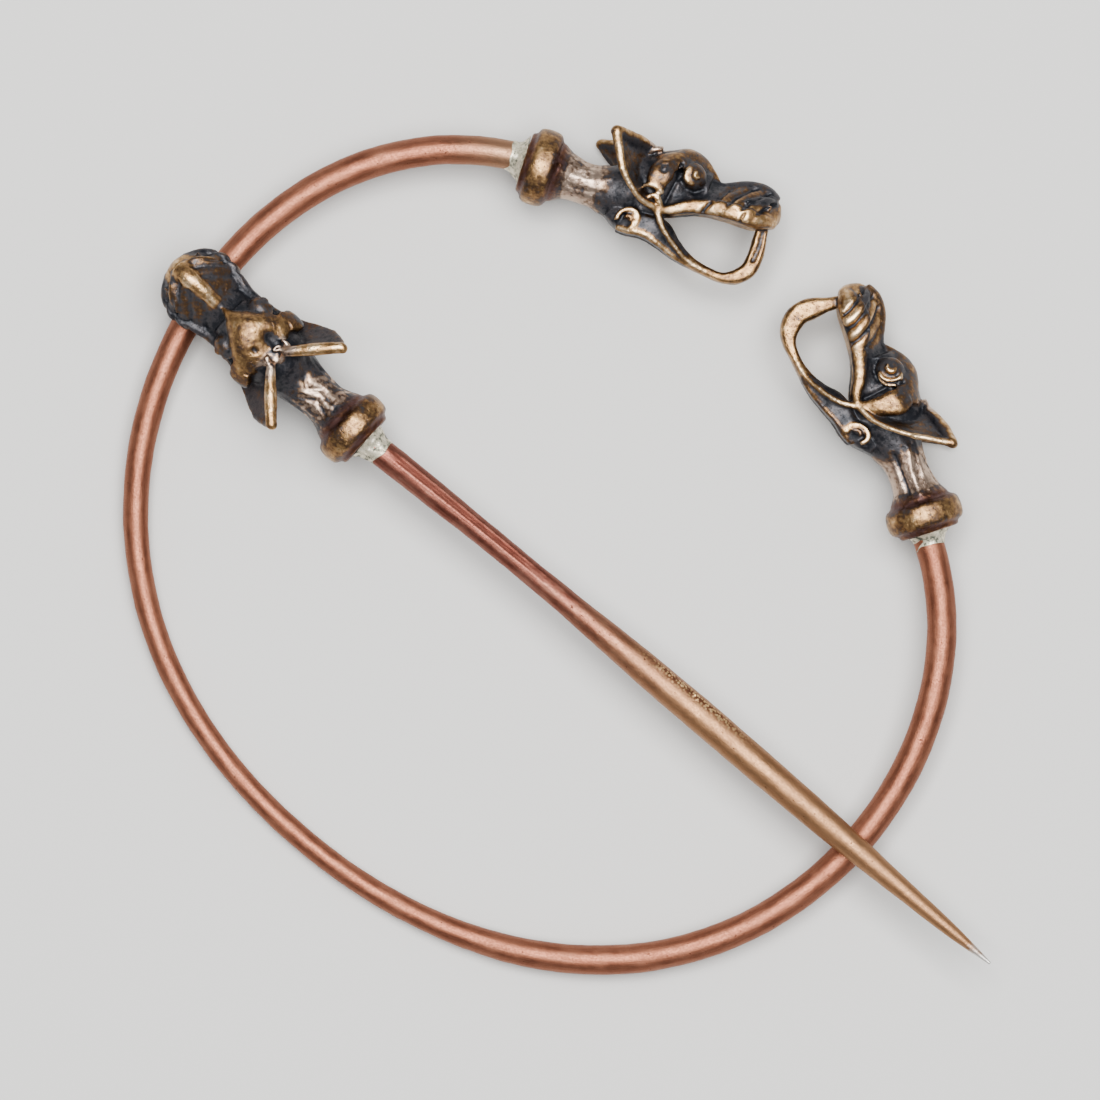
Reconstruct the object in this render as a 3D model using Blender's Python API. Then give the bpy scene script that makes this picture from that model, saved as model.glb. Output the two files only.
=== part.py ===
"""A penannular brooch: an open hoop of copper wire, a long pin and three cast dragon heads.

The hoop is worked out flat, with its gap towards +Y and +Z up, and a head closes each of its ends.
The third head rides on the wire with its open mouth and carries the pin. All three are one casting.
One empty carries everything, and lays the brooch down on the side that it really comes to rest on.
"""

import bmesh
import bpy
import numpy as np
from mathutils import Matrix, Vector

# Fits
GAP = 0.0003  # between two pieces that touch
MOUTH_SLACK = 0.0019  # how much higher a dragon's mouth is than the wire is thick
FRONT_SLACK = 0.0005  # between the wire and the front of the jaw that hooks round it
JAW_SLACK = 0.0006  # between the wire and the jaw under it

# Hoop, bent by hand, so that its curvature varies
HOOP_LENGTH = 0.1928
HOOP_TURN = np.radians(303.8)
HOOP_START = np.radians(210.4)  # heading of the wire as it leaves the left head
HOOP_OVAL = 0.252  # share by which the wire bends tighter at both ends than on average
HOOP_SKEW = -0.013
HOOP_CORNERS = (0.122, 0.067)  # three rounder corners, as shares of the average curvature
HOOP_RADIUS = 0.0015
HOOP_THIN_RADIUS = 0.00117
HOOP_THINNING = (  # share of the length, share of the way from full to thin
    (0.00, 0.0), (0.15, 0.0), (0.25, 0.38), (0.36, 0.8), (0.48, 1.0), (0.58, 0.82), (0.65, 0.1),
    (0.75, 0.0), (1.00, 0.0),
)
HOOP_RINGS = 80
HOOP_SIDES = 12

# Collar behind each head, and how each head on the hoop is set against its wire
COLLAR_RADIUS = 0.0039
COLLAR_LENGTH = 0.0028
COLLAR_BACK_RADIUS = 0.0031
COLLAR_BACK_LENGTH = 0.0004
LEFT_TURN = np.radians(-3.5)  # outwards from the wire it ends
RIGHT_TURN = np.radians(1.7)
LEFT_OFFSET = -0.0003  # how far the collar's axis lies outside the wire's
RIGHT_OFFSET = 0.0004
LEFT_LIFT = 0.0014  # how far the neck's bend carries the face outwards
RIGHT_LIFT = -0.0014

# Solder fillets
SOLDER_LENGTH = 0.0011
LEFT_SOLDER_RADIUS = 0.0027
RIGHT_SOLDER_RADIUS = 0.0022
PIN_SOLDER_LENGTH = 0.0017
PIN_SOLDER_RADIUS = 0.00205
SOLDER_EDGE = 0.00025  # wall of a fillet at its thin end
SOLDER_SIDES = 20

# Pin
PIN_LENGTH = 0.0807
PIN_RADIUS = 0.0014
PIN_WAIST_RADIUS = 0.00125
PIN_BELLY_RADIUS = 0.0016
PIN_POINT_RADIUS = 0.00015
PIN_BOW = 0.0004  # how far a third of the way along it has bent towards the heads
PIN_SEAT = 0.1903  # share of the hoop's length at which the pin's mouth holds it
PIN_REST = 0.826  # share at which the shank lies on it
PIN_YAW = np.radians(2.6)  # the head is set a little askew on its shank
PIN_RINGS = 34
PIN_SIDES = 12

# Dragon head, carved on a grid whose squares are a share of its length
HEAD_LENGTH = 0.0244  # from the middle of the collar to the tip of the snout
SQUARE = HEAD_LENGTH / 244
MOUTH_SQUARES = 49  # height of the mouth that the carving is drawn with
JAW_INNER = 222  # inner face of the front of the jaw
LIP = -8  # underside of the upper jaw over the wire
BEND_FROM = 40
BEND_TO = 140
VOXEL = 0.0003
SMOOTHINGS = 3
FACES_KEPT = 0.068

# Fineness of the carving before it is cast into one skin
SIDES = 20
RINGS = 22

BRONZE = ((0.42, 0.25, 0.12, 1.0), 0.38)
COPPER = ((0.46, 0.21, 0.15, 1.0), 0.34)
GILT_COPPER = ((0.48, 0.27, 0.16, 1.0), 0.34)
SOLDER = ((0.55, 0.54, 0.46, 1.0), 0.6)

X = np.array((1.0, 0.0, 0.0))
Y = np.array((0.0, 1.0, 0.0))
Z = np.array((0.0, 0.0, 1.0))


def clear():
    """Removes every object of the scene."""
    for found in list(bpy.data.objects):
        bpy.data.objects.remove(found, do_unlink=True)


def empty(name, parent=None):
    made = bpy.data.objects.new(name, None)
    made.empty_display_size = 0.01
    made.parent = parent
    bpy.context.collection.objects.link(made)
    return made


def metal(name, finish):
    """A Principled material of one colour and roughness."""
    colour, roughness = finish
    made = bpy.data.materials.new(name)
    made.use_nodes = True
    shader = made.node_tree.nodes["Principled BSDF"]
    shader.inputs["Base Color"].default_value = colour
    shader.inputs["Metallic"].default_value = 1.0
    shader.inputs["Roughness"].default_value = roughness
    return made


def through(keys, share):
    """Values at these shares on a smooth curve through the keys, each a share and its values."""
    keys = np.asarray(keys, float)
    at = keys[:, 0]
    values = keys[:, 1:]
    slopes = np.gradient(values, at, axis=0)
    first = np.clip(np.searchsorted(at, share, side="right") - 1, 0, len(at) - 2)
    width = (at[first + 1] - at[first])[:, None]
    t = (share - at[first])[:, None] / width
    low = values[first] * (1 + 2 * t) * (1 - t) ** 2 + slopes[first] * width * t * (1 - t) ** 2
    high = values[first + 1] * (3 - 2 * t) * t**2 + slopes[first + 1] * width * t**2 * (t - 1)
    return low + high


def unit(vectors):
    return vectors / np.linalg.norm(vectors, axis=-1, keepdims=True)


# Carving


def ring_round(path, wide, half_wide, half_thick, squareness=2.0, taper=0.0):
    """Rings across a path: a superellipse, wide along one direction and thinner across it.

    With a taper, the ring is narrower on the side that the wide direction points to.
    """
    along = unit(np.gradient(path, axis=0))
    first = unit(wide - (along @ wide)[:, None] * along)
    second = np.cross(along, first)
    angle = np.linspace(0, 2 * np.pi, SIDES, endpoint=False)
    power = 2 / squareness
    c = np.sign(np.cos(angle)) * np.abs(np.cos(angle)) ** power
    s = np.sign(np.sin(angle)) * np.abs(np.sin(angle)) ** power
    thick = half_thick[:, None] * s * (1 - taper * (1 + c) / 2)
    return (
        path[:, None]
        + first[:, None] * (half_wide[:, None] * c)[..., None]
        + second[:, None] * thick[..., None]
    )


def evenly(keys, count):
    """Evenly spread points on a curve through keys of x, y, z and any further values."""
    keys = np.asarray(keys, float)
    steps = np.linalg.norm(np.diff(keys[:, :3], axis=0), axis=1)
    share = np.concatenate(([0.0], np.cumsum(steps)))
    return through(np.column_stack((share / share[-1], keys)), np.linspace(0, 1, count))


def sweep(keys, wide, squareness=2.0, taper=0.0, rings=RINGS):
    """Rings along a curve through keys of x, y, z, half width and half thickness."""
    values = evenly(keys, rings)
    return ring_round(values[:, :3], wide, values[:, 3], values[:, 4], squareness, taper)


def rib(keys, rings=RINGS):
    """Round rings along a curve through keys of x, y, z and radius."""
    keys = np.asarray(keys, float)
    return sweep(np.column_stack((keys, keys[:, 3])), unit(X + 0.3 * Y + 0.2 * Z), rings=rings)


def turned(profile):
    """Rings round the X axis through a profile of x and radius."""
    angle = np.linspace(0, 2 * np.pi, 2 * SIDES, endpoint=False)
    circle = np.cos(angle)[:, None] * Y + np.sin(angle)[:, None] * Z
    return np.array([x * X + radius * circle for x, radius in profile])


def ball(centre, radii):
    """Rings of an ellipsoid."""
    turn = np.linspace(0.03, np.pi - 0.03, 10)
    profile = [(-np.cos(t), np.sin(t)) for t in turn]
    return turned(profile) * np.asarray(radii, float) + np.asarray(centre, float)


def curl(centre, outer, inner, turns, radius, start):
    """A rib wound inwards in a spiral on the side of the head."""
    share = np.linspace(0, 1, 26)
    angle = start + 2 * np.pi * turns * share
    reach = outer + (inner - outer) * share
    path = np.column_stack((reach * np.cos(angle), 0 * share, reach * np.sin(angle)))
    thick = radius * (1 - 0.35 * share)
    return ring_round(path + np.asarray(centre, float), Y, thick, thick)


def ear(upper, lower, cup, thickness):
    """Rings of a shell between an upper and a lower rim, hollowed towards the skull between them."""
    share = np.linspace(0, 1, RINGS)
    top = evenly(upper, RINGS)
    bottom = evenly(lower, RINGS)
    across = np.linspace(0, 1, 9)[:, None, None]
    inward = unit(np.array((0.1, -1.0, -0.25)))
    depth = cup * np.sin(np.pi * across**0.8) * np.sqrt(share)[None, :, None]
    middle = top * (1 - across) + bottom * across + depth * inward
    normal = unit(np.cross(np.gradient(middle, axis=0), np.gradient(middle, axis=1)))
    outer = middle + normal * thickness / 2
    inner = middle - normal * thickness / 2
    return np.concatenate((outer, inner[::-1])).transpose(1, 0, 2)


def brow():
    """Rings of the shield over the eyes: an arched plate that narrows to a point on the bridge."""
    keys = (  # x, half width, top, drop at its sides
        (98, 12, 41, 6), (106, 27, 42, 14), (113, 41, 43, 20), (120, 45, 45, 22), (128, 39, 48, 20),
        (140, 27, 50, 15), (152, 16, 50, 8), (162, 7, 47, 4), (170, 1.5, 42, 1),
    )
    x, half, top, drop = evenly(keys, RINGS).T[:, :, None]
    angle = np.linspace(0, 2 * np.pi, SIDES, endpoint=False)
    y = half * np.cos(angle)
    z = top - drop * np.cos(angle) ** 2 + 6 * np.sin(angle) - 6
    return np.stack((x + 0 * y, y, z), axis=-1)


def mouth_height():
    """From the lip down to the jaw, so that the wire has room in it."""
    return 2 * HOOP_RADIUS + MOUTH_SLACK


def head_core():
    """Collar, neck, skull, snout and lower jaw, in squares."""
    back = -(COLLAR_LENGTH / 2 + COLLAR_BACK_LENGTH) / SQUARE
    half = COLLAR_LENGTH / 2 / SQUARE
    rim = COLLAR_RADIUS / SQUARE
    plate = COLLAR_BACK_RADIUS / SQUARE
    deep = mouth_height() / SQUARE / MOUTH_SQUARES
    yield turned(
        (
            (back, plate), (1 - half, plate), (2 - half, rim - 2), (0, rim), (half - 2, rim - 2),
            (half, rim - 7), (half + 3, 29), (half + 8, 26), (half + 14, 24),
        )
    )
    yield sweep(  # neck and skull
        (
            (8, 0, 0, 26, 27), (22, 0, 0, 25, 26), (35, 0, -1, 22, 22), (48, 0, -2, 21, 22),
            (60, 0, -2, 23, 24), (75, 0, -3, 28, 27), (90, 0, -1, 33, 30), (105, 0, 4, 36, 33),
            (120, 0, 8, 34, 34), (135, 0, 10, 32, 30), (150, 0, 11, 28, 25), (166, 0, 11, 22, 22),
        ),
        Z,
    )
    yield sweep(  # hinge of the jaw
        ((86, 0, -14, 20, 22), (100, 0, -15, 22, 29), (118, 0, -16, 20, 32), (132, 0, -18, 11, 31)), Z
    )
    yield sweep(  # snout
        (
            (136, 0, 7, 22, 28), (150, 0, 8, 22, 28), (164, 0, 9, 19, 27), (176, 0, 8, 18, 29),
            (190, 0, 10, 19, 34), (205, 0, 13, 20, 38), (218, 0, 15, 20, 36), (230, 0, 13, 17, 28),
            (238, 0, 11, 13, 18), (243, 0, 10, 7, 9),
        ),
        Z,
        taper=0.6,
    )
    yield sweep(  # throat and lower jaw, round the front and up to the snout
        [
            (x, 0, z if x < 125 else LIP + (z - LIP) * deep, wide, thick)
            for x, z, wide, thick in (
                (78, -24, 22, 8), (97, -34, 31, 11), (115, -35, 34, 12), (132, -39, 33, 13),
                (150, -50, 26, 10), (170, -58, 19, 7), (190, -62, 15, 6), (206, -63, 15, 7),
                (220, -57, 15, 9), (229, -46, 14, 9), (JAW_INNER + 9, -30, 13, 9),
                (JAW_INNER + 8, -14, 12, 7), (JAW_INNER + 7, 0, 10, 6),
            )
        ],
        Y,
        rings=40,
    )
    yield rib(((172, 0, 27, 5), (190, 0, 31, 5), (208, 0, 35, 5.5), (224, 0, 34, 7), (236, 0, 26, 8)))


def head_sides():
    """What stands on both sides of the head, worked out on the side where y is positive."""
    deep = mouth_height() / SQUARE / MOUTH_SQUARES
    upper = ((61, 52, 50), (80, 32, 48), (101, 9, 43))
    lower = ((61, 53, 49), (69, 56, 34), (79, 56, 16), (90, 52, 2), (104, 45, -11), (124, 35, -19))
    yield ear(upper, lower, cup=13, thickness=8)
    yield rib([(*point, 5) for point in upper])
    yield rib([(*point, 4) for point in lower])
    yield sweep(  # cheek plate, from the brow to the corner of the mouth
        ((116, 35, 30, 13, 6), (116, 38, 14, 13, 6), (118, 37, 0, 11, 6), (123, 35, -18, 6, 5)), X
    )
    yield ball((146, 26, 23), (12, 12, 12))  # eye
    yield curl((146, 33, 23), 12, 11, 1.0, 3.5, 0)
    yield curl((97.5, 32, -32), 11.5, 4, 1.4, 4.5, 0.6)  # curl at the hinge of the jaw
    yield rib(  # lip
        (
            (124, 35, -19, 5), (136, 31, -17, 6), (150, 28, -9, 6.5), (166, 27, -5, 6), (180, 30, -3, 6),
            (196, 34, -2, 6.5), (212, 34, -1, 6.5), (226, 26, 1, 6.5), (238, 10, 5, 6),
        )
    )
    yield rib(  # upper edge of the jaw
        [
            (x, y, LIP + (z - LIP) * deep, radius)
            for x, y, z, radius in (
                (123, 36, -20, 4), (135, 33, -36, 4), (150, 26, -48, 4), (170, 17, -59, 4),
                (190, 12, -63, 4),
            )
        ]
    )
    yield rib(  # throat line
        [
            (x, y, z if x < 125 else LIP + (z - LIP) * deep, radius)
            for x, y, z, radius in (
                (88, 25, -40, 4), (100, 29, -43, 4), (115, 31, -44, 4), (132, 29, -50, 4),
                (150, 22, -57, 4), (168, 15, -61, 4),
            )
        ]
    )
    for lower, middle, upper in (  # folds of the nose
        ((192, 33, -2), (200, 34, 12), (212, 15, 31)),
        ((210, 34, 0), (217, 31, 12), (227, 12, 28)),
        ((227, 25, 3), (234, 19, 10), (238, 8, 18)),
    ):
        yield rib(((*lower, 7), (*middle, 7), (*upper, 6)), rings=12)


def skin(bm, rings):
    """Faces between rings of points, and one over each end."""
    loops = [[bm.verts.new(point) for point in ring] for ring in rings]
    for first, second in zip(loops, loops[1:]):
        for i in range(len(first)):
            bm.faces.new((first[i - 1], first[i], second[i], second[i - 1]))
    bm.faces.new(reversed(loops[0]))
    bm.faces.new(loops[-1])


def bent(points, lift):
    """The same points, in metres, with the neck bent so that the face stands this much higher."""
    share = np.clip((points[..., 0] - BEND_FROM) / (BEND_TO - BEND_FROM), 0, 1)
    return points * SQUARE + (lift * share**2 * (3 - 2 * share))[..., None] * Z


def dragon_head(name, parent, lift):
    """One casting: every carved shape under one skin, its collar's middle at the origin."""
    bm = bmesh.new()
    shapes = [*head_core(), brow()]
    for shape in head_sides():
        shapes += [shape, shape * (1, -1, 1)]
    for shape in shapes:
        skin(bm, bent(shape, lift))
    bmesh.ops.recalc_face_normals(bm, faces=bm.faces)
    mesh = bpy.data.meshes.new(name)
    bm.to_mesh(mesh)
    bm.free()
    made = bpy.data.objects.new(name, mesh)
    made.parent = parent
    bpy.context.collection.objects.link(made)
    mesh.materials.append(metal(name, BRONZE))
    cast = made.modifiers.new("cast", "REMESH")
    cast.mode = "VOXEL"
    cast.voxel_size = VOXEL
    cast.use_smooth_shade = True
    smooth = made.modifiers.new("smooth", "SMOOTH")
    smooth.iterations = SMOOTHINGS
    fewer = made.modifiers.new("fewer", "DECIMATE")
    fewer.ratio = FACES_KEPT
    return made


# Wire, pin and solder


def hoop_line(shares):
    """Points of the wire's centreline and its headings, at shares of its length.

    The curvature is the average one with three waves on it, and is summed along the wire.
    """
    fine = np.linspace(0, 1, 4001)
    turn = 2 * np.pi * fine
    wave = 1 + HOOP_OVAL * np.cos(turn) + HOOP_SKEW * np.sin(turn)
    wave += HOOP_CORNERS[0] * np.cos(3 * turn) + HOOP_CORNERS[1] * np.sin(3 * turn)
    step = fine[1]
    heading = HOOP_START + HOOP_TURN * np.concatenate(([0], np.cumsum(wave[1:] + wave[:-1]) * step / 2))
    middle = (heading[1:] + heading[:-1]) / 2
    x = np.concatenate(([0], np.cumsum(np.cos(middle)))) * step * HOOP_LENGTH
    y = np.concatenate(([0], np.cumsum(np.sin(middle)))) * step * HOOP_LENGTH
    x -= (x.min() + x.max()) / 2
    y -= (y.min() + y.max()) / 2
    places = np.column_stack([np.interp(shares, fine, values) for values in (x, y)])
    return places, np.interp(shares, fine, heading)


def hoop_radius(shares):
    thin = through(HOOP_THINNING, np.atleast_1d(shares))[:, 0]
    return HOOP_RADIUS + (HOOP_THIN_RADIUS - HOOP_RADIUS) * thin


def pin_radius(shares):
    """The shank's radius: slim at the head, fullest past its middle, and a long point."""
    keys = (
        (0.00, PIN_RADIUS), (0.07, PIN_RADIUS), (0.17, PIN_WAIST_RADIUS), (0.30, PIN_WAIST_RADIUS),
        (0.44, PIN_BELLY_RADIUS), (0.64, PIN_BELLY_RADIUS), (0.76, PIN_BELLY_RADIUS * 0.87),
        (0.86, PIN_BELLY_RADIUS * 0.63), (0.94, PIN_BELLY_RADIUS * 0.42), (1.00, PIN_POINT_RADIUS),
    )
    return through(keys, np.atleast_1d(shares))[:, 0]


def wire(name, parent, points, radii, sides, finish):
    """A round wire of varying thickness: a curve with a bevel and closed ends."""
    curve = bpy.data.curves.new(name, "CURVE")
    curve.dimensions = "3D"
    curve.bevel_depth = 1.0
    curve.bevel_resolution = sides // 2 - 2
    curve.use_fill_caps = True
    spline = curve.splines.new("POLY")
    spline.points.add(len(points) - 1)
    for place, point, radius in zip(spline.points, points, radii):
        place.co = (*point, 1.0)
        place.radius = radius
    spline.use_smooth = True
    curve.materials.append(metal(name, finish))
    made = bpy.data.objects.new(name, curve)
    made.parent = parent
    bpy.context.collection.objects.link(made)
    return made


def solder(name, parent, bore, length, big, offset):
    """A fillet round the end of a wire: a bored cone behind a collar, its wide end on the collar's axis.

    X runs along the wire, with the collar's back plate a gap beyond x = 0.
    """
    inner = bore + GAP
    profile = ((0, inner), (-length, inner), (-length, inner + SOLDER_EDGE), (0, big))
    angle = np.linspace(0, 2 * np.pi, SOLDER_SIDES, endpoint=False)
    circle = np.cos(angle)[:, None] * Y + np.sin(angle)[:, None] * Z
    bm = bmesh.new()
    loops = []
    for x, radius in profile:
        aside = offset if radius == big else 0
        loops.append([bm.verts.new(x * X + radius * point + aside * Z) for point in circle])
    for first, second in zip(loops, loops[1:] + loops[:1]):
        for i in range(SOLDER_SIDES):
            bm.faces.new((first[i - 1], first[i], second[i], second[i - 1]))
    bmesh.ops.recalc_face_normals(bm, faces=bm.faces)
    mesh = bpy.data.meshes.new(name)
    bm.to_mesh(mesh)
    bm.free()
    mesh.materials.append(metal(name, SOLDER))
    mesh.shade_smooth()
    mesh.set_sharp_from_angle(angle=np.radians(40))
    made = bpy.data.objects.new(name, mesh)
    made.parent = parent
    bpy.context.collection.objects.link(made)
    return made


def collar_back():
    """From the middle of a collar to the face of its back plate."""
    return COLLAR_LENGTH / 2 + COLLAR_BACK_LENGTH


def standing(place, forward, up):
    """The matrix of a piece at this place, with its X forward and its Z up."""
    side = np.cross(up, forward)
    return Matrix.Translation(Vector(place)) @ Matrix(np.column_stack((forward, side, up))).to_4x4()


def terminal(side, brooch, end, forward, outward, turn, offset, lift, fillet_radius):
    """A head on one end of the hoop, lying on its side, and the solder behind it.

    Forward runs on from the wire's end, and outward away from the hoop's middle.
    """
    mouthward = unit(forward * np.cos(turn) + outward * np.sin(turn))
    crest = unit(outward - (outward @ mouthward) * mouthward)
    head = dragon_head(f"{side}_terminal", brooch, lift)
    middle = end + mouthward * (GAP + collar_back()) + crest * offset
    head.matrix_local = standing(middle, mouthward, crest)
    fillet = solder(f"{side}_solder", brooch, HOOP_RADIUS, SOLDER_LENGTH, fillet_radius, offset)
    fillet.matrix_local = standing(end, forward, outward)


def hoop(brooch):
    """The open ring of wire, with a head on each end."""
    shares = np.linspace(0, 1, HOOP_RINGS)
    places, headings = hoop_line(shares)
    points = np.column_stack((places, 0 * shares))
    wire("hoop", brooch, points, hoop_radius(shares), HOOP_SIDES, COPPER)
    for side, index, way, *fitting in (
        ("left", 0, -1, LEFT_TURN, LEFT_OFFSET, LEFT_LIFT, LEFT_SOLDER_RADIUS),
        ("right", -1, 1, RIGHT_TURN, RIGHT_OFFSET, RIGHT_LIFT, RIGHT_SOLDER_RADIUS),
    ):
        forward = way * np.array((np.cos(headings[index]), np.sin(headings[index]), 0))
        outward = way * np.array((forward[1], -forward[0], 0))
        terminal(side, brooch, points[index], forward, outward, *fitting)


def pin(brooch):
    """The pin: its head's mouth round the wire on one side, its shank over the wire on the other."""
    (eye, rest), _ = hoop_line(np.array((PIN_SEAT, PIN_REST)))
    eye_x = JAW_INNER * SQUARE - HOOP_RADIUS - FRONT_SLACK
    eye_drop = mouth_height() - LIP * SQUARE - HOOP_RADIUS - JAW_SLACK
    span = np.linalg.norm(rest - eye)
    swerve = PIN_YAW - np.arcsin(eye_x * np.sin(PIN_YAW) / span)
    bearing = np.arctan2(*(rest - eye)[::-1]) - swerve
    along = span - eye_x - collar_back()
    over = hoop_radius(PIN_REST)[0] + pin_radius(along / PIN_LENGTH)[0] + GAP
    pitch = np.arcsin(over / np.hypot(eye_drop, span)) - np.arctan2(eye_drop, span)

    axis = empty("pin_axis", brooch)
    axis.matrix_local = (
        Matrix.Translation((*eye, 0))
        @ Matrix.Rotation(bearing + np.pi, 4, "Z")
        @ Matrix.Rotation(pitch, 4, "Y")
    )
    head = dragon_head("pin_head", axis, 0)
    head.location = (-eye_x, 0, eye_drop)
    back = collar_back() + GAP
    shank = Matrix.Translation((-eye_x, 0, eye_drop)) @ Matrix.Rotation(PIN_YAW, 4, "Z")
    shares = np.linspace(0, 1, PIN_RINGS)
    bowed = np.clip(shares - PIN_SOLDER_LENGTH / PIN_LENGTH, 0, 1)
    bow = PIN_BOW * 27 / 4 * bowed * (1 - bowed) ** 2
    points = np.outer(-back - PIN_LENGTH * shares, X) - np.outer(bow, Y)
    made = wire("pin", axis, points, pin_radius(shares), PIN_SIDES, GILT_COPPER)
    made.matrix_local = shank
    fillet = solder("pin_solder", axis, PIN_RADIUS, PIN_SOLDER_LENGTH, PIN_SOLDER_RADIUS, 0)
    fillet.matrix_local = shank @ Matrix.Translation((-back, 0, 0))


# Laying down


def whole_mesh():
    """Corners and triangles of every solid, in world space."""
    bpy.context.view_layer.update()
    graph = bpy.context.evaluated_depsgraph_get()
    corners = []
    triangles = []
    for found in bpy.context.scene.objects:
        if found.type == "EMPTY":
            continue
        solid = found.evaluated_get(graph)
        mesh = solid.to_mesh()
        mesh.calc_loop_triangles()
        triangles += [[len(corners) + i for i in face.vertices] for face in mesh.loop_triangles]
        corners += [solid.matrix_world @ vertex.co for vertex in mesh.vertices]
        solid.to_mesh_clear()
    return np.array(corners), np.array(triangles)


def centre_of_mass(corners, triangles):
    a, b, c = corners[triangles].transpose(1, 0, 2)
    volumes = np.einsum("ij,ij->i", a, np.cross(b, c))
    return ((a + b + c) / 4 * volumes[:, None]).sum(axis=0) / volumes.sum()


def resting_normal(corners, centre):
    """The outward normal of the hull's face that lies under the centre of mass and most faces down."""
    bm = bmesh.new()
    for point in (corners - centre) * 1000:
        bm.verts.new(point)
    hull = bmesh.ops.convex_hull(bm, input=bm.verts)["geom"]
    best = Vector((0, 0, 0))
    for face in hull:
        if not isinstance(face, bmesh.types.BMFace):
            continue
        face.normal_update()
        normal = face.normal * (1 if face.normal.dot(face.verts[0].co) > 0 else -1)
        foot = normal * normal.dot(face.verts[0].co)
        a, b, c = (vertex.co for vertex in face.verts)
        turns = [normal.dot((q - p).cross(foot - p)) for p, q in ((a, b), (b, c), (c, a))]
        if (min(turns) >= 0 or max(turns) <= 0) and normal.z < best.z:
            best = normal.copy()
    bm.free()
    return best


def lay_down(brooch):
    """Turns the brooch onto its resting side, and puts the middle of its box over the origin."""
    corners, triangles = whole_mesh()
    down = resting_normal(corners, centre_of_mass(corners, triangles))
    turn = down.rotation_difference(Vector((0, 0, -1))).to_matrix()
    turned_corners = corners @ np.array(turn).T
    low = turned_corners.min(axis=0)
    high = turned_corners.max(axis=0)
    place = Vector((-(low[0] + high[0]) / 2, -(low[1] + high[1]) / 2, -low[2]))
    brooch.matrix_world = Matrix.Translation(place) @ turn.to_4x4()
    bpy.context.view_layer.update()


def main():
    clear()
    brooch = empty("brooch")
    hoop(brooch)
    pin(brooch)
    lay_down(brooch)


main()
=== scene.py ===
"""Looks of the penannular brooch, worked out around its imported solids.

The hoop, the pin, the solder and the three dragon heads are surfaces computed here, in metres,
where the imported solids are. A head is carved on the grid of squares that its solid has, one square
being a 244th of the head's length, cast into one skin, and then worn bright on what stands out.
"""

from dataclasses import dataclass

import bpy
import numpy as np
from bpy.props import FloatProperty, FloatVectorProperty, IntProperty, PointerProperty
from mathutils import Matrix, Vector


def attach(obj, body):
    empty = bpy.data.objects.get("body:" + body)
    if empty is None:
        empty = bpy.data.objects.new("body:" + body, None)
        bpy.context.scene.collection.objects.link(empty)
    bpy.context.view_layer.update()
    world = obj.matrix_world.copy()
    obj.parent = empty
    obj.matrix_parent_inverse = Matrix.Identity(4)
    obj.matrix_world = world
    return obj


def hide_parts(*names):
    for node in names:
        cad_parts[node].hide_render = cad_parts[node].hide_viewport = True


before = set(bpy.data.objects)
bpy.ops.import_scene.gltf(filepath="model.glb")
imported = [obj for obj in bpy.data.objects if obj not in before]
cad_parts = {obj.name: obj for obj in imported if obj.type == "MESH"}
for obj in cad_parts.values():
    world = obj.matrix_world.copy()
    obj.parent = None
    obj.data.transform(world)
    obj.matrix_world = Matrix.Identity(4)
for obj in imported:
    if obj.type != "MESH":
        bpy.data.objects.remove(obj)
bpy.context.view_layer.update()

bl_info = {
    "name": "Penannular brooch",
    "version": (1, 0, 0),
    "blender": (4, 5, 0),
    "location": "3D View > Sidebar > Brooch",
    "description": "Copper hoop and pin with three cast bronze dragon heads",
    "category": "Add Mesh",
}

X = np.array((1.0, 0.0, 0.0))
Y = np.array((0.0, 1.0, 0.0))
Z = np.array((0.0, 0.0, 1.0))

# How the brooch lies, and the sizes that place its pieces, as in its solids
PLACE = (-0.00706686, -0.00648084, 0.00339539)
RESTING_NORMAL = (0.00330986, -0.0678077, -0.99769294)
HOOP_LENGTH = 0.1928
HOOP_TURN = np.radians(303.8)
HOOP_START = np.radians(210.4)
HOOP_OVAL = 0.252
HOOP_SKEW = -0.013
HOOP_CORNERS = (0.122, 0.067)
HOOP_THINNING = (
    (0.00, 0.0), (0.15, 0.0), (0.25, 0.38), (0.36, 0.8), (0.48, 1.0), (0.58, 0.82), (0.65, 0.1),
    (0.75, 0.0), (1.00, 0.0),
)
GAP = 0.0003
MOUTH_HEIGHT = 0.0049
FRONT_SLACK = 0.0005
JAW_SLACK = 0.0006
COLLAR_LENGTH = 0.0028
COLLAR_BACK_LENGTH = 0.0004
TERMINALS = (  # side, end of the wire, way along it, turn, offset, lift
    ("left", 0.0, -1, np.radians(-3.5), -0.0003, 0.0014),
    ("right", 1.0, 1, np.radians(1.7), 0.0004, -0.0014),
)
PIN_BOW = 0.0004
PIN_SEAT = 0.1903
PIN_REST = 0.826
PIN_YAW = np.radians(2.6)
SQUARE = 0.0244 / 244
JAW_INNER = 222
LIP = -8
DEEP = MOUTH_HEIGHT / SQUARE / 49  # the mouth against the one that the carving is drawn with
BEND_FROM = 40
BEND_TO = 140

# Fineness: rings along the wires and sides round them, and those of the carving before it is cast
HOOP_GRID = (1100, 44)
PIN_GRID = (1050, 72)
FILLET_GRID = (40, 72)
RINGS = 60
SNOUT_RINGS = 90
SIDES = 40

# Random unevenness: how many waves are summed, and how deep the dents of each length are
SUMMED_WAVES = 28
DENT_DEPTHS = (1, 0.6, 0.3)
HOOP_DENT_LENGTHS = (0.006, 0.0022, 0.0009)
PIN_DENT_LENGTHS = (0.005, 0.0018, 0.0008)

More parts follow.
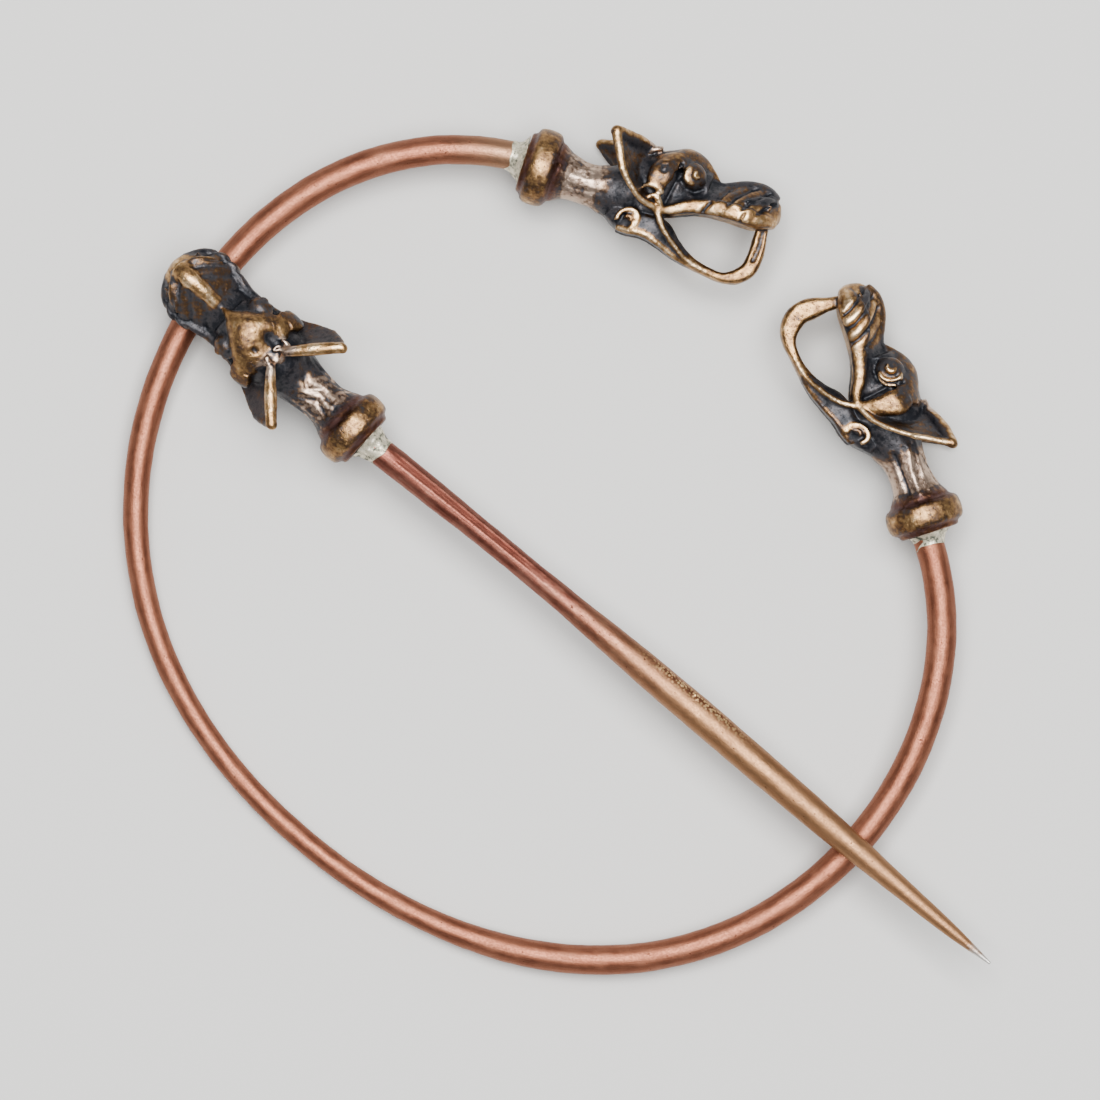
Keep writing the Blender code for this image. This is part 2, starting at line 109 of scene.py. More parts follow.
# The pin's hammered flat and its grainy patch: shares of its length, and degrees round it
BOW_START = 0.021
FLAT_SHARES = (0.02, 0.05, 0.2, 0.36)
FLAT_ANGLE, FLAT_WIDTH = 112, 15
FLAT_EDGES, EDGE_WIDTH = (92, 133), 4.5
FLAT_DEPTH, EDGE_HEIGHT = 0.00007, 0.00003
PATCH_ANGLE, PATCH_WIDTH = 137, 15
PATCH_SHARE, PATCH_REACH = 0.51, 0.075
GRAIN_LENGTH, GRAIN_HEIGHT = 0.0005, 0.00012
FULL_RELIEF_RADIUS = 0.001

# Solder: the radius inside it, its length and its radius at the collar, then its clearance round
# the wire, how fast it widens, and how ragged and lumpy it is
FILLETS = {
    "left": (0.0015, 0.0011, 0.0027),
    "right": (0.0015, 0.0011, 0.0022),
    "pin": (0.0014, 0.0017, 0.00205),
}
FILLET_CLEARANCE = 0.00004
FILLET_FLARE = 2.6
RAGGED_EDGE = 0.0003
RAGGED_LENGTH = 1.2
LUMP_LENGTH = 0.0011

# Stage: half the floor's width, what the camera looks at on the flat brooch, and the sky
FLOOR_HALF = 1.5
TARGET = (0.00039, 0.00528, 0)
UPRIGHT = (-1, 1, 0)
SENSOR = 36
CLIP_START = 0.01
SKY = (0.75, 0.78, 0.82, 1)
SKY_STRENGTH = 0.4
# Each lamp's name, width and place from the target: up the picture, to its right, to the camera
LIGHTS = (
    ("key", 0.62, (0.09, 0.06, 0.75)),
    ("spark", 0.14, (0.22, -0.1, 0.7)),
)


# Curves and surfaces


def through(keys, share):
    """Values at these shares on a smooth curve through the keys, each a share and its values.

    Between two keys the curve is a cubic that has, at each, the slope of its neighbours.
    """
    keys = np.asarray(keys, float)
    at = keys[:, 0]
    values = keys[:, 1:]
    slopes = np.gradient(values, at, axis=0)
    first = np.clip(np.searchsorted(at, share, side="right") - 1, 0, len(at) - 2)
    width = (at[first + 1] - at[first])[:, None]
    t = (share - at[first])[:, None] / width
    low = values[first] * (1 + 2 * t) * (1 - t) ** 2 + slopes[first] * width * t * (1 - t) ** 2
    high = values[first + 1] * (3 - 2 * t) * t**2 + slopes[first + 1] * width * t**2 * (t - 1)
    return low + high


def unit(vectors):
    return vectors / np.linalg.norm(vectors, axis=-1, keepdims=True)


def smoothstep(low, high, values):
    """0 up to low, 1 from high, and a smooth rise between them."""
    share = np.clip((values - low) / (high - low), 0, 1)
    return share**2 * (3 - 2 * share)


def waves(points, length, seed):
    """A smooth random field: the mean of sine waves of about this length, in random directions."""
    count = SUMMED_WAVES
    rng = np.random.default_rng(seed)
    directions = unit(rng.normal(size=(count, 3)))
    across = directions * 2 * np.pi / (length * rng.uniform(0.6, 1.6, (count, 1)))
    phases = rng.uniform(0, 2 * np.pi, count)
    shape = points.shape[:-1]
    flat = points.reshape(-1, 3)
    return np.sin(flat @ across.T + phases).mean(axis=1).reshape(shape) * np.sqrt(2 * count) / 2


def dented(points, lengths, seed):
    """Three random fields with wavelengths from long to short, the shorter ones shallower."""
    steps = enumerate(zip(DENT_DEPTHS, lengths))
    return sum(depth * waves(points, length, seed + step) for step, (depth, length) in steps)


def skin(grid):
    """Corners and faces of a closed surface: a grid of rings of points, and a pole at each end."""
    rings, sides = grid.shape[:2]
    points = np.concatenate((grid.reshape(-1, 3), grid[:1].mean(axis=1), grid[-1:].mean(axis=1)))
    ring = np.arange(sides)
    following = (ring + 1) % sides
    starts = np.arange(rings - 1)[:, None] * sides
    above = starts + sides
    quads = np.stack(
        (starts + ring, starts + following, above + following, above + ring), axis=-1
    ).reshape(-1, 4)
    low = np.stack((following, ring, np.full(sides, rings * sides)), axis=-1)
    last = (rings - 1) * sides
    high = np.stack((last + ring, last + following, np.full(sides, rings * sides + 1)), axis=-1)
    return points, quads, np.concatenate((low, high))


def joined(skins):
    """One list of corners and one of faces for several closed surfaces."""
    points, faces, count = [], [], 0
    for corners, quads, triangles in skins:
        points.append(corners)
        faces += (quads + count).tolist() + (triangles + count).tolist()
        count += len(corners)
    return np.concatenate(points), faces


def new_mesh(name, points, faces):
    mesh = bpy.data.meshes.new(name)
    mesh.from_pydata(points.tolist(), [], faces)
    mesh.update()
    return mesh


def piece(mesh, body, node, material):
    """Makes an object of this mesh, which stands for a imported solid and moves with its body."""
    if not outwards(mesh):
        mesh.flip_normals()
    made = bpy.data.objects.new(mesh.name, mesh)
    bpy.context.scene.collection.objects.link(made)
    mesh.materials.clear()
    mesh.materials.append(material)
    mesh.shade_smooth()
    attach(made, body)
    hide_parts(node)
    return made


def point_field(mesh, name, values):
    """Keeps one value for each corner of a mesh, for its material to read."""
    field = mesh.attributes.new(name, "FLOAT", "POINT")
    field.data.foreach_set("value", np.asarray(values, np.float32).ravel())


def wire_field(mesh, name, values, first, last):
    """Keeps a value for each corner of a wire's rings, then those of the poles at its two ends."""
    point_field(mesh, name, np.concatenate((values.ravel(), (first, last))))


def outwards(mesh):
    """Whether the closed surface faces outwards, from the sign of its volume."""
    corners = np.empty(len(mesh.vertices) * 3)
    mesh.vertices.foreach_get("co", corners)
    corners = corners.reshape(-1, 3)
    mesh.calc_loop_triangles()
    triangles = np.empty(len(mesh.loop_triangles) * 3, np.int32)
    mesh.loop_triangles.foreach_get("vertices", triangles)
    a, b, c = corners[triangles.reshape(-1, 3)].transpose(1, 0, 2)
    return np.einsum("ij,ij->", a, np.cross(b, c)) > 0


# Where the pieces stand


def brooch_matrix():
    """Lays the flat brooch down on the side that it rests on."""
    turn = Vector(RESTING_NORMAL).rotation_difference(Vector((0, 0, -1))).to_matrix().to_4x4()
    return Matrix.Translation(PLACE) @ turn


def hoop_line(shares):
    """Points of the wire's centreline and its headings, at shares of its length.

    The curvature is the average one with three waves on it, and is summed along the wire.
    """
    fine = np.linspace(0, 1, 4001)
    turn = 2 * np.pi * fine
    wave = 1 + HOOP_OVAL * np.cos(turn) + HOOP_SKEW * np.sin(turn)
    wave += HOOP_CORNERS[0] * np.cos(3 * turn) + HOOP_CORNERS[1] * np.sin(3 * turn)
    step = fine[1]
    summed = np.cumsum(wave[1:] + wave[:-1]) * step / 2
    heading = HOOP_START + HOOP_TURN * np.concatenate(([0], summed))
    middle = (heading[1:] + heading[:-1]) / 2
    x = np.concatenate(([0], np.cumsum(np.cos(middle)))) * step * HOOP_LENGTH
    y = np.concatenate(([0], np.cumsum(np.sin(middle)))) * step * HOOP_LENGTH
    x -= (x.min() + x.max()) / 2
    y -= (y.min() + y.max()) / 2
    places = np.column_stack([np.interp(shares, fine, values) for values in (x, y)])
    return places, np.interp(shares, fine, heading)


def hoop_radius(shares, sizes):
    thin = through(HOOP_THINNING, np.atleast_1d(shares))[:, 0]
    return sizes.radius + (sizes.thin_radius - sizes.radius) * thin


def pin_radius(shares, sizes):
    """The shank's radius: slim at the head, fullest past its middle, and a long point."""
    belly = sizes.belly_radius
    keys = (
        (0.00, sizes.radius), (0.07, sizes.radius), (0.17, sizes.waist_radius),
        (0.30, sizes.waist_radius), (0.44, belly), (0.64, belly), (0.76, belly * 0.87),
        (0.86, belly * 0.63), (0.94, belly * 0.42), (1.00, sizes.point_radius),
    )
    return through(keys, np.atleast_1d(shares))[:, 0]


def collar_back():
    """From the middle of a collar to the face of its back plate."""
    return COLLAR_LENGTH / 2 + COLLAR_BACK_LENGTH


def standing(place, forward, up):
    """The matrix of a piece at this place, with its X forward and its Z up."""
    side = np.cross(up, forward)
    return Matrix.Translation(Vector(place)) @ Matrix(np.column_stack((forward, side, up))).to_4x4()


def terminal_matrices(end, way, turn, offset):
    """Where a head on one end of the hoop stands, and where the solder behind it does."""
    (place,), (heading,) = hoop_line(np.array((end,)))
    place = np.array((*place, 0))
    forward = way * np.array((np.cos(heading), np.sin(heading), 0))
    outward = way * np.array((forward[1], -forward[0], 0))
    mouthward = unit(forward * np.cos(turn) + outward * np.sin(turn))
    crest = unit(outward - (outward @ mouthward) * mouthward)
    middle = place + mouthward * (GAP + collar_back()) + crest * offset
    laid = brooch_matrix()
    return laid @ standing(middle, mouthward, crest), laid @ standing(place, forward, outward)


def pin_matrices():
    """Where the pin's head stands, and where its shank does, tip towards -X.

    The mouth holds the wire at the seat, and the shank lies on the wire at the rest.
    """
    hoop, pin = bpy.context.scene.brooch_hoop, bpy.context.scene.brooch_pin
    (eye, rest), _ = hoop_line(np.array((PIN_SEAT, PIN_REST)))
    eye_x = JAW_INNER * SQUARE - hoop.radius - FRONT_SLACK
    eye_drop = MOUTH_HEIGHT - LIP * SQUARE - hoop.radius - JAW_SLACK
    span = np.linalg.norm(rest - eye)
    swerve = PIN_YAW - np.arcsin(eye_x * np.sin(PIN_YAW) / span)
    bearing = np.arctan2(*(rest - eye)[::-1]) - swerve
    along = span - eye_x - collar_back()
    over = hoop_radius(PIN_REST, hoop)[0] + pin_radius(along / pin.length, pin)[0] + GAP
    pitch = np.arcsin(over / np.hypot(eye_drop, span)) - np.arctan2(eye_drop, span)
    axis = (
        brooch_matrix()
        @ Matrix.Translation((*eye, 0))
        @ Matrix.Rotation(bearing + np.pi, 4, "Z")
        @ Matrix.Rotation(pitch, 4, "Y")
        @ Matrix.Translation((-eye_x, 0, eye_drop))
    )
    return axis, axis @ Matrix.Rotation(PIN_YAW, 4, "Z")


def moved(points, matrix):
    """The same points under a matrix."""
    turn = np.array(matrix)
    return points @ turn[:3, :3].T + turn[:3, 3]


# Carving, in squares


@dataclass
class Cut:
    """How one casting differs from the carving that all three share. Brightness is from 0 to 1."""

    front: float  # thickness of the jaw's front
    tips: tuple  # moves of its near and far ear's tips
    rim: float  # thickness of the ears' lower rims
    cup: float  # brightness of the ears' hollows
    throat: float  # brightness of the line along the throat
    cheek: float  # brightness of its cheeks
    eye: float  # size of its eyes
    folded: bool  # whether its cheeks are folded and its snout has grooves of its own
    sides: float  # below 1, its sides are darkened as painted shade, for a head seen from above
    crest: float  # brightness of its crown
    nose: float  # brightness of its nose's ridge
    folds: float  # brightness of the folds beside its nose
    neck: float  # depth of the grooves on its neck
    swell: float  # how far its lips swell up into its snout
    snout: float  # depth of the grooves on its snout
    lips: float  # how much of those its lips lack
    mottle: float  # how mottled its neck is


CUTS = {
    "left": Cut(
        front=1.0, tips=((0, 4), (-11, -7)), rim=1.15, cup=0.46, throat=0.9, cheek=0.5,
        eye=0.9, folded=True, sides=1.0, crest=0.6, nose=0.14, folds=0.47, neck=0.4,
        swell=0.0, snout=1.0, lips=0.9, mottle=0.17,
    ),
    "right": Cut(
        front=1.35, tips=((0, -3), (1, 2)), rim=0.95, cup=0.53, throat=0.5, cheek=0.76,
        eye=1.3, folded=False, sides=1.0, crest=0.5, nose=0.42, folds=0.76, neck=1.0,
        swell=1.0, snout=1.0, lips=0.0, mottle=0.14,
    ),
    # Seen from above, the pin's head has its sides darkened, and its ear hollows beyond their
    # patina: painted shade
    "pin": Cut(
        front=1.0, tips=((0, 0), (0, 0)), rim=1.0, cup=0.26, throat=0.6, cheek=0.3,
        eye=0.85, folded=False, sides=0.4, crest=0.74, nose=0.8, folds=0.42, neck=0.5,
        swell=0.0, snout=0.6, lips=0.0, mottle=0.32,
    ),
}


def ring_round(path, wide, half_wide, half_thick, squareness=2.0):
    """Rings across a path: a superellipse, its half width along the wide direction."""
    along = unit(np.gradient(path, axis=0))
    first = unit(wide - (along @ wide)[:, None] * along)
    second = np.cross(along, first)
    angle = np.linspace(0, 2 * np.pi, SIDES, endpoint=False)
    power = 2 / squareness
    c = np.sign(np.cos(angle)) * np.abs(np.cos(angle)) ** power
    s = np.sign(np.sin(angle)) * np.abs(np.sin(angle)) ** power
    return (
        path[:, None]
        + first[:, None] * (half_wide[:, None] * c)[..., None]
        + second[:, None] * (half_thick[:, None] * s)[..., None]
    )


def evenly(keys, count):
    """Evenly spread points on a curve through keys of x, y, z and any further values."""
    keys = np.asarray(keys, float)
    steps = np.linalg.norm(np.diff(keys[:, :3], axis=0), axis=1)
    share = np.concatenate(([0.0], np.cumsum(steps)))
    return through(np.column_stack((share / share[-1], keys)), np.linspace(0, 1, count))


def sweep(keys, wide, squareness=2.0):
    """Rings along a curve through keys of x, y, z, half width and half thickness."""
    values = evenly(keys, RINGS)
    return ring_round(values[:, :3], wide, values[:, 3], values[:, 4], squareness)


def rib(keys):
    """Round rings along a curve through keys of x, y, z and radius."""
    keys = np.asarray(keys, float)
    return sweep(np.column_stack((keys, keys[:, 3])), unit(X + 0.3 * Y + 0.2 * Z))


def turned(profile):
    """Rings round the X axis through a profile of x and radius."""
    angle = np.linspace(0, 2 * np.pi, 2 * SIDES, endpoint=False)
    circle = np.cos(angle)[:, None] * Y + np.sin(angle)[:, None] * Z
    profile = np.asarray(profile, float)
    return profile[:, 0, None, None] * X + profile[:, 1, None, None] * circle


def ball(centre, radii):
    """Rings of an ellipsoid."""
    turn = np.linspace(0.03, np.pi - 0.03, 24)
    profile = np.column_stack((-np.cos(turn), np.sin(turn)))
    return turned(profile) * np.asarray(radii, float) + np.asarray(centre, float)


def curl(centre, outer, inner, turns, radius, start, lean):
    """A rib wound inwards in a spiral on the side of the head, its middle standing out by lean."""
    share = np.linspace(0, 1, 90)
    angle = start + 2 * np.pi * turns * share
    reach = outer + (inner - outer) * share
    path = np.column_stack((reach * np.cos(angle), lean * share, reach * np.sin(angle)))
    thick = radius * (1 - 0.35 * share)
    return ring_round(path + np.asarray(centre, float), Y, thick, thick)


def ear(upper, lower, cup, thickness):
    """Rings of a shell between an upper and a lower rim, hollowed towards the skull between them.

    Across the shell the depth is half a sine wave. It grows with the root of the share along it.
    """
    share = np.linspace(0, 1, RINGS)
    top = evenly(upper, RINGS)
    bottom = evenly(lower, RINGS)
    across = np.linspace(0, 1, 15)[:, None, None]
    inward = unit(np.array((0.1, -1.0, -0.25)))
    depth = cup * np.sin(np.pi * across**0.8) * np.sqrt(share)[None, :, None]
    middle = top * (1 - across) + bottom * across + depth * inward
    normal = unit(np.cross(np.gradient(middle, axis=0), np.gradient(middle, axis=1)))
    outer = middle + normal * thickness / 2
    inner = middle - normal * thickness / 2
    return np.concatenate((outer, inner[::-1])).transpose(1, 0, 2)


def brow():
    """Rings of the shield over the eyes: an arched plate that narrows to a point on the bridge.

    Across it, the plate falls by the cube of the share of its half width.
    """
    keys = (  # x, half width, top, drop at its sides
        (98, 12, 41, 6), (106, 27, 42, 14), (113, 41, 43, 20), (120, 45, 45, 22),
        (128, 40, 48, 20), (140, 29, 50, 15), (150, 19, 48, 9), (160, 10, 42.5, 5),
        (169, 4, 35, 2.5), (176, 1.5, 28, 1),
    )
    x, half, top, drop = evenly(keys, RINGS).T[:, :, None]
    angle = np.linspace(0, 2 * np.pi, SIDES, endpoint=False)
    y = half * np.cos(angle)
    z = top - drop * np.abs(np.cos(angle)) ** 3 + 6 * np.sin(angle) - 6
    return np.stack((x + 0 * y, y, z), axis=-1)


def mouthwards(keys):
    """Keys of the jaw, each x, y, z and sizes, moved down where the mouth is higher than drawn."""
    return [(x, y, z if x < 125 else LIP + (z - LIP) * DEEP, *sizes) for x, y, z, *sizes in keys]


def section(half, bottom, top):
    """Rings of a roof-shaped body across X: full at its lips, hollow up to a narrow ridge.

    One outline, drawn once from the middle of its underside up to the ridge, is stretched to the
    half width, bottom and top of each place, and mirrored.
    """
    outline = np.array(
        (
            (0, 0.06), (0.45, 0.02), (0.78, 0), (0.95, 0.05), (1, 0.15), (0.97, 0.28), (0.86, 0.45),
            (0.66, 0.63), (0.42, 0.79), (0.24, 0.9), (0.13, 0.97), (0, 1),
        )
    )
    places = np.linspace(0, 1, len(outline))
    side = through(np.column_stack((places, outline)), np.linspace(0, 1, SIDES))
    around = np.concatenate((side, side[-2:0:-1] * (-1, 1)))
    y = half * around[:, 0]
    z = bottom + (top - bottom) * around[:, 1]
    return y, z


def snout():
    """Rings of the snout and nose, a roof-shaped section carried along X."""
    keys = (  # x, half width, bottom, top
        (122, 30, -24, 34), (136, 31, -22, 36), (150, 30, -16, 33), (164, 29, -11, 27),
        (176, 31, -9, 26), (190, 36, -8, 30), (204, 39.5, -8, 34.5), (216, 38, -8, 36),
        (227, 31, -6, 34), (236, 21, -2, 27), (242, 11, 3, 20), (243.5, 4, 7, 14),
    )
    values = evenly([(x, 0, 0, *sizes) for x, *sizes in keys], SNOUT_RINGS)
    x, half, bottom, top = values[:, [0, 3, 4, 5]].T[:, :, None]
    y, z = section(half, bottom, top)
    return np.stack((x + 0 * y, y, z), axis=-1)


def snout_tone(grid, cut):
    """Golden along the lips and the nose's ridge, brown above the lips, dark under the eye."""
    x, y, z = grid.transpose(2, 0, 1)
    forward = smoothstep(168, 186, x)
    low = 1 - smoothstep(9, 17, z)
    # The lips' band and the low part behind the snout are dimmed by cut.sides: painted shade on a
    # head seen from above
    band = cut.folds * (1 - low) + 0.88 * cut.sides * low
    hollow = 0.05 + 0.8 * (1 - smoothstep(-12, -4, z + 0.3 * (150 - x).clip(0))) * cut.sides
    ridge = smoothstep(182, 190, x) * smoothstep(26, 32, z) * (1 - smoothstep(4, 7, np.abs(y)))
    nose = smoothstep(218, 229, x) * smoothstep(8, 18, z) * (1 - smoothstep(12, 20, np.abs(y)))
    front = cut.nose * (0.5 * ridge + nose)
    return np.clip(band * forward + hollow * (1 - forward) + front, 0, 0.85)


def head_core(cut):
    """Collar, neck, skull, snout and lower jaw, each with how bright its metal is worn, and with
    painted shade on the hinge and on darkened sides.
    """
    front = cut.front
    back = -collar_back() / SQUARE
    half = COLLAR_LENGTH / 2 / SQUARE
    collar = turned(
        (
            (back, 28), (back + 0.4, 30.5), (-half + 0.5, 31), (-half + 1.5, 33.5),
            (-half + 3, 36.5), (-half + 6, 38.2), (-3, 39), (2, 39), (half - 5, 38),
            (half - 2, 36), (half - 1, 34), (half, 31.5), (half + 2, 29.5), (half + 3.5, 30),
            (half + 6, 28), (half + 11, 25), (half + 16, 22),
        )
    )
    yield 0.44 + 0.32 * (1 - smoothstep(5, 13, np.abs(collar[..., 0]))), collar
    neck = sweep(  # neck and skull
        (
            (8, 0, 0, 26, 27), (22, 0, 0, 25, 26), (35, 0, -1, 22, 22), (48, 0, -2, 21, 22),
            (60, 0, -2, 23, 24), (75, 0, -3, 28, 27), (90, 0, -1, 33, 30), (105, 0, 4, 36, 33),
            (120, 0, 8, 34, 34), (135, 0, 10, 32, 30), (150, 0, 11, 28, 25), (166, 0, 11, 22, 22),
        ),
        Z,
    )
    # The neck is rubbed bright; with sides below 1 its sides are darkened against its top, as
    # painted shade
    upper = smoothstep(3, 12, neck[..., 2]) * (1 - smoothstep(12, 21, np.abs(neck[..., 1])))
    rubbed = 0.8 * (cut.sides + (1 - cut.sides) * upper)
    yield rubbed + (0.1 - rubbed) * smoothstep(50, 82, neck[..., 0]), neck
    yield 0.08, sweep(  # hinge of the jaw, filling the gap under the skull, kept dark as painted shade of that gap
        (
            (86, 0, -14, 20, 22), (100, 0, -15, 22, 29),
            (118, 0, -16, 20, 32), (132, 0, -18, 11, 31),
        ),
        Z,
    )
    made = snout()
    yield snout_tone(made, cut), made
    jaw = sweep(  # throat and lower jaw, round the front and up to the snout
        mouthwards(
            (
                (78, 0, -24, 22, 8), (97, 0, -34, 31, 11), (115, 0, -35, 34, 12),
                (132, 0, -39, 33, 13), (150, 0, -50, 26, 9.5), (170, 0, -58, 19, 6.2),
                (190, 0, -62, 15, 5), (206, 0, -63, 15, 5.2 * front),
                (220, 0, -57, 15, 7.6 * front), (229, 0, -46, 14, 8.2 * front),
                (JAW_INNER + 9, 0, -30, 13, 8 * front), (JAW_INNER + 8, 0, -14, 12, 7),
                (JAW_INNER + 7, 0, 0, 10, 6),
            )
        ),
        Y,
        squareness=4.2,
    )
    yield 0.1 + 0.62 * smoothstep(150, 176, jaw[..., 0]), jaw
    ridge = rib(
        (
            (168, 0, 20, 6), (180, 0, 22, 6.5), (190, 0, 25.5, 7), (208, 0, 30.5, 8.5),
            (222, 0, 28.5, 10.5), (232, 0, 22, 11),
        )
    )
    yield 0.08 + cut.nose * smoothstep(177, 185, ridge[..., 0]), ridge
    shield = brow()
    behind = 0.3 * smoothstep(112, 98, shield[..., 0])
    yield topped(shield, 0.74 * cut.crest, cut.crest) - behind, shield
    for line in CROWN:
        yield 0.7, rib(line)


def topped(grid, low, high, start=0.5, full=3.5):
    """How bright the top of a form is worn against its sides, from how far each point is above the
    middle of its ring."""
    above = grid[..., 2] - grid[..., 2].mean(axis=1, keepdims=True)
    return low + (high - low) * smoothstep(start, full, above)


def crested(grid, low, high):
    """How bright a rib on the side of the head is worn: high along its crest, low on its flanks.

    What counts is how far out a point is from the middle of its ring, against the furthest there.
    """
    out = grid[..., 1] - grid[..., 1].mean(axis=1, keepdims=True)
    return low + (high - low) * smoothstep(0.3, 0.85, out / out.max(axis=1, keepdims=True))


def crescent(centre, reach, start, end, radius):
    """A rib along an arc on the side of the head, thick at its middle and fine at both ends.

    The arc goes between two angles in degrees, and the thickness follows half a sine wave.
    """
    share = np.linspace(0, 1, RINGS)
    start, end = np.radians(start), np.radians(end)
    angle = start + (end - start) * share
    path = np.column_stack((reach * np.cos(angle), 0 * share, reach * np.sin(angle)))
    thick = 0.5 + radius * np.sin(np.pi * share) ** 0.7
    return ring_round(path + np.asarray(centre, float), Y, thick, thick)


def head_side(cut, far):
    """What stands on the near side of the head or on the far one, drawn where y is positive."""
    tip_x, tip_z = np.add((61, 50), cut.tips[far])
    rise = tip_z - 50
    upper = ((tip_x, 51.4, tip_z), (80, 32, 48 + rise / 3), (101, 9, 43))
    lower = (
        (tip_x, 51.8, tip_z - 1), (69 + (tip_x - 61) / 2, 55, 34 + rise / 2), (79, 55.5, 16),
        (90, 52, 2), (104, 45, -11), (124, 35, -19),
    )
    yield cut.cup, ear(upper, lower, cup=15, thickness=6)
    bar = rib([(*point, radius) for point, radius in zip(upper, (5.7, 6.4, 4.8))])
    yield topped(bar, 0.2, 0.84, -1.5, 2.0), bar
    yield 0.6, ball(upper[0], (6.3, 5.4, 5.8))
    thick = (4.4 * cut.rim, 3.9 * cut.rim, 3.5 * cut.rim, 3.1, 3.2, 4.2)
    rim = rib([(*point, radius) for point, radius in zip(lower, thick)])
    # The rim's crest is dimmed by cut.sides: painted shade on a head seen from above
    yield crested(rim, 0.34, 0.98 * cut.sides), rim
    ends = ((117, 38, 2, 10, 6), (123, 35, -17, 4, 4))
    if cut.folded:
        ends = ((117, 39, 8, 11, 5), (120, 37, 2, 5, 3))
    plate = sweep(((118, 31, 30, 9, 5), (116, 38, 18, 13, 6), *ends), X, squareness=2.6)  # cheek
    upper_share = smoothstep(16, 30, plate[..., 2])
    yield cut.cheek * (1 - upper_share) + 0.8 * cut.crest * upper_share, plate
    eye = cut.eye
    yield 0.34, ball((147, 24, 23), (11.5 + 2.6 * eye, 12, 11.5 + 2.6 * eye))
    # The eye's crescents are dimmed by cut.sides: painted shade on a head seen from above
    yield 0.92 * cut.sides, crescent((148, 33.5, 24), 9.2 * eye, 122, 284, 3.2 * eye)
    middle = (151, 35.4 + 1.1 * cut.sides, 25.5)
    yield 0.86 * cut.sides, crescent(middle, 3.3 * eye, 110, 330, 1.7 * eye)
    for line in CHEEK_FOLDS if cut.folded else ():
        yield 0.95, rib(line)
    whorl = curl((97, 31, -32), 11, 9, 0.7, 4.2, -1.0, 2)  # curl at the hinge of the jaw
    yield crested(whorl, 0.36, 0.95), whorl
    yield 0.45, curl((98, 33, -32), 4, 2.5, 0.6, 3.0, 5.6, 1)
    swell = cut.swell
    lip = sweep(
        (
            (124, 36, -19, 4.2, 4), (136, 32, -15.5, 5.4, 4.6), (150, 30, -7.5, 6.6, 5),
            (166, 29.5, -2.5, 7.8, 5), (180, 32, 0.5 + swell, 8.4 + swell, 5),
            (196, 36 - 1.5 * swell, 1 + 4 * swell, 8.2 + 4.5 * swell, 5),
            (212, 36 - 2 * swell, 1.5 + 5 * swell, 7.8 + 6 * swell, 5),
            (226, 29, 2.5 + 4 * swell, 6.6 + 4 * swell, 5), (238, 11, 5, 5, 5),
        ),
        Z,
        squareness=2.8 - 0.8 * swell,
    )
    # The lip and the nostril are dimmed by cut.sides: painted shade on a head seen from above
    yield cut.sides * crested(lip, 0.3, 0.92) * (1 - topped(lip, 0, 0.3, -1, 6)), lip
    yield 0.62 * cut.sides, curl((229, 24, 10), 7.5, 5, 0.7, 2.6, 1.2, 1.0)  # nostril
    yield 0.55 * cut.nose, rib(  # wing of the nose
        (
            (234, 2, 20, 5), (230, 10, 22.5, 5.6), (223, 19, 21.5, 5.2),
            (214, 27, 18, 4.4), (206, 33, 14, 2.8),
        )
    )
    edge = rib(  # upper edge of the jaw
        mouthwards(
            (
                (123, 36, -20, 3.6), (135, 33, -36, 3.2), (150, 26, -48, 3.1),
                (170, 17, -59, 3.2), (190, 12, -63, 3.4),
            )
        )
    )
    yield crested(edge, 0.3, 1.0), edge
    throat = rib(
        mouthwards(
            (
                (90, 26, -41, 3.6), (100, 29, -43, 4.2), (115, 31, -44, 4.2), (132, 29, -50, 3.4),
                (150, 22, -57, 3.1), (168, 15, -61, 3.2),
            )
        )
    )
    yield crested(throat, 0.26, cut.throat), throat


CHEEK_FOLDS = (  # bright folds under the left head's cheek plate: lines of x, y, z and radius
    ((103, 39, 3, 2.2), (109, 41, 5, 3.0), (117, 41, 3, 3.0), (124, 39, -2, 2.4)),
    ((110, 39, -8, 2.2), (117, 40, -5, 3.0), (122, 39, -10, 3.0), (127, 35, -18, 3.2)),
)
CROWN = (  # small curls between the ears: lines of x, y, z and radius
    ((97, -2, 40, 2.5), (101, -9, 43, 3), (107, -9, 45, 3), (109, -3, 45, 2.2)),
    ((98, 5, 41, 2.5), (104, 9, 44, 3), (110, 5, 46, 2.5)),
    ((96, -15, 38, 2.2), (103, -17, 42, 2.8), (110, -16, 44, 2.2)),
)
SIDE_GROOVES = (  # depth and width, and a line of x and z on both sides of the head
    (3.2, 2.1, ((184, -9), (187, 3), (194, 16), (205, 27), (212, 32))),
    (3.2, 2.1, ((199, -9), (202, 3), (210, 16), (221, 27), (226, 32))),
    (3.4, 2.1, ((214, -9), (217, 2), (224, 13), (234, 23))),
    (-1.6, 4.5, ((192, -4), (195, 6), (203, 19), (213, 28))),
    (-1.6, 4.5, ((207, -4), (210, 6), (218, 19), (227, 27))),
    (2.4, 2.0, ((176, 8), (184, 20), (193, 29))),
    (3.0, 2.2, ((129, -10), (132, 6), (134, 20), (133, 32))),
    (2.2, 1.9, ((134, 28), (136, 16), (143, 9), (153, 8), (161, 14))),
)
OWN_GROOVES = (  # those that only the left head has
    (2.0, 3.0, ((231, -10), (232, -22), (230, -36))),
    (1.8, 1.4, ((118, 20), (121, 24), (119, 28), (115, 26), (116, 21), (119, 20))),
    (3.2, 2.2, ((167, -14), (168, -5), (171, 3))),
    (2.0, 1.4, ((205, -8), (207, 3))),
)
NECK_GROOVES = (
    (2.6, 3.0, ((26, -9), (44, -10), (66, -9))),
    (-1.6, 2.8, ((22, 1), (46, 0), (70, 7))),
    (-1.4, 2.4, ((40, 11), (58, 12), (78, 16))),
)
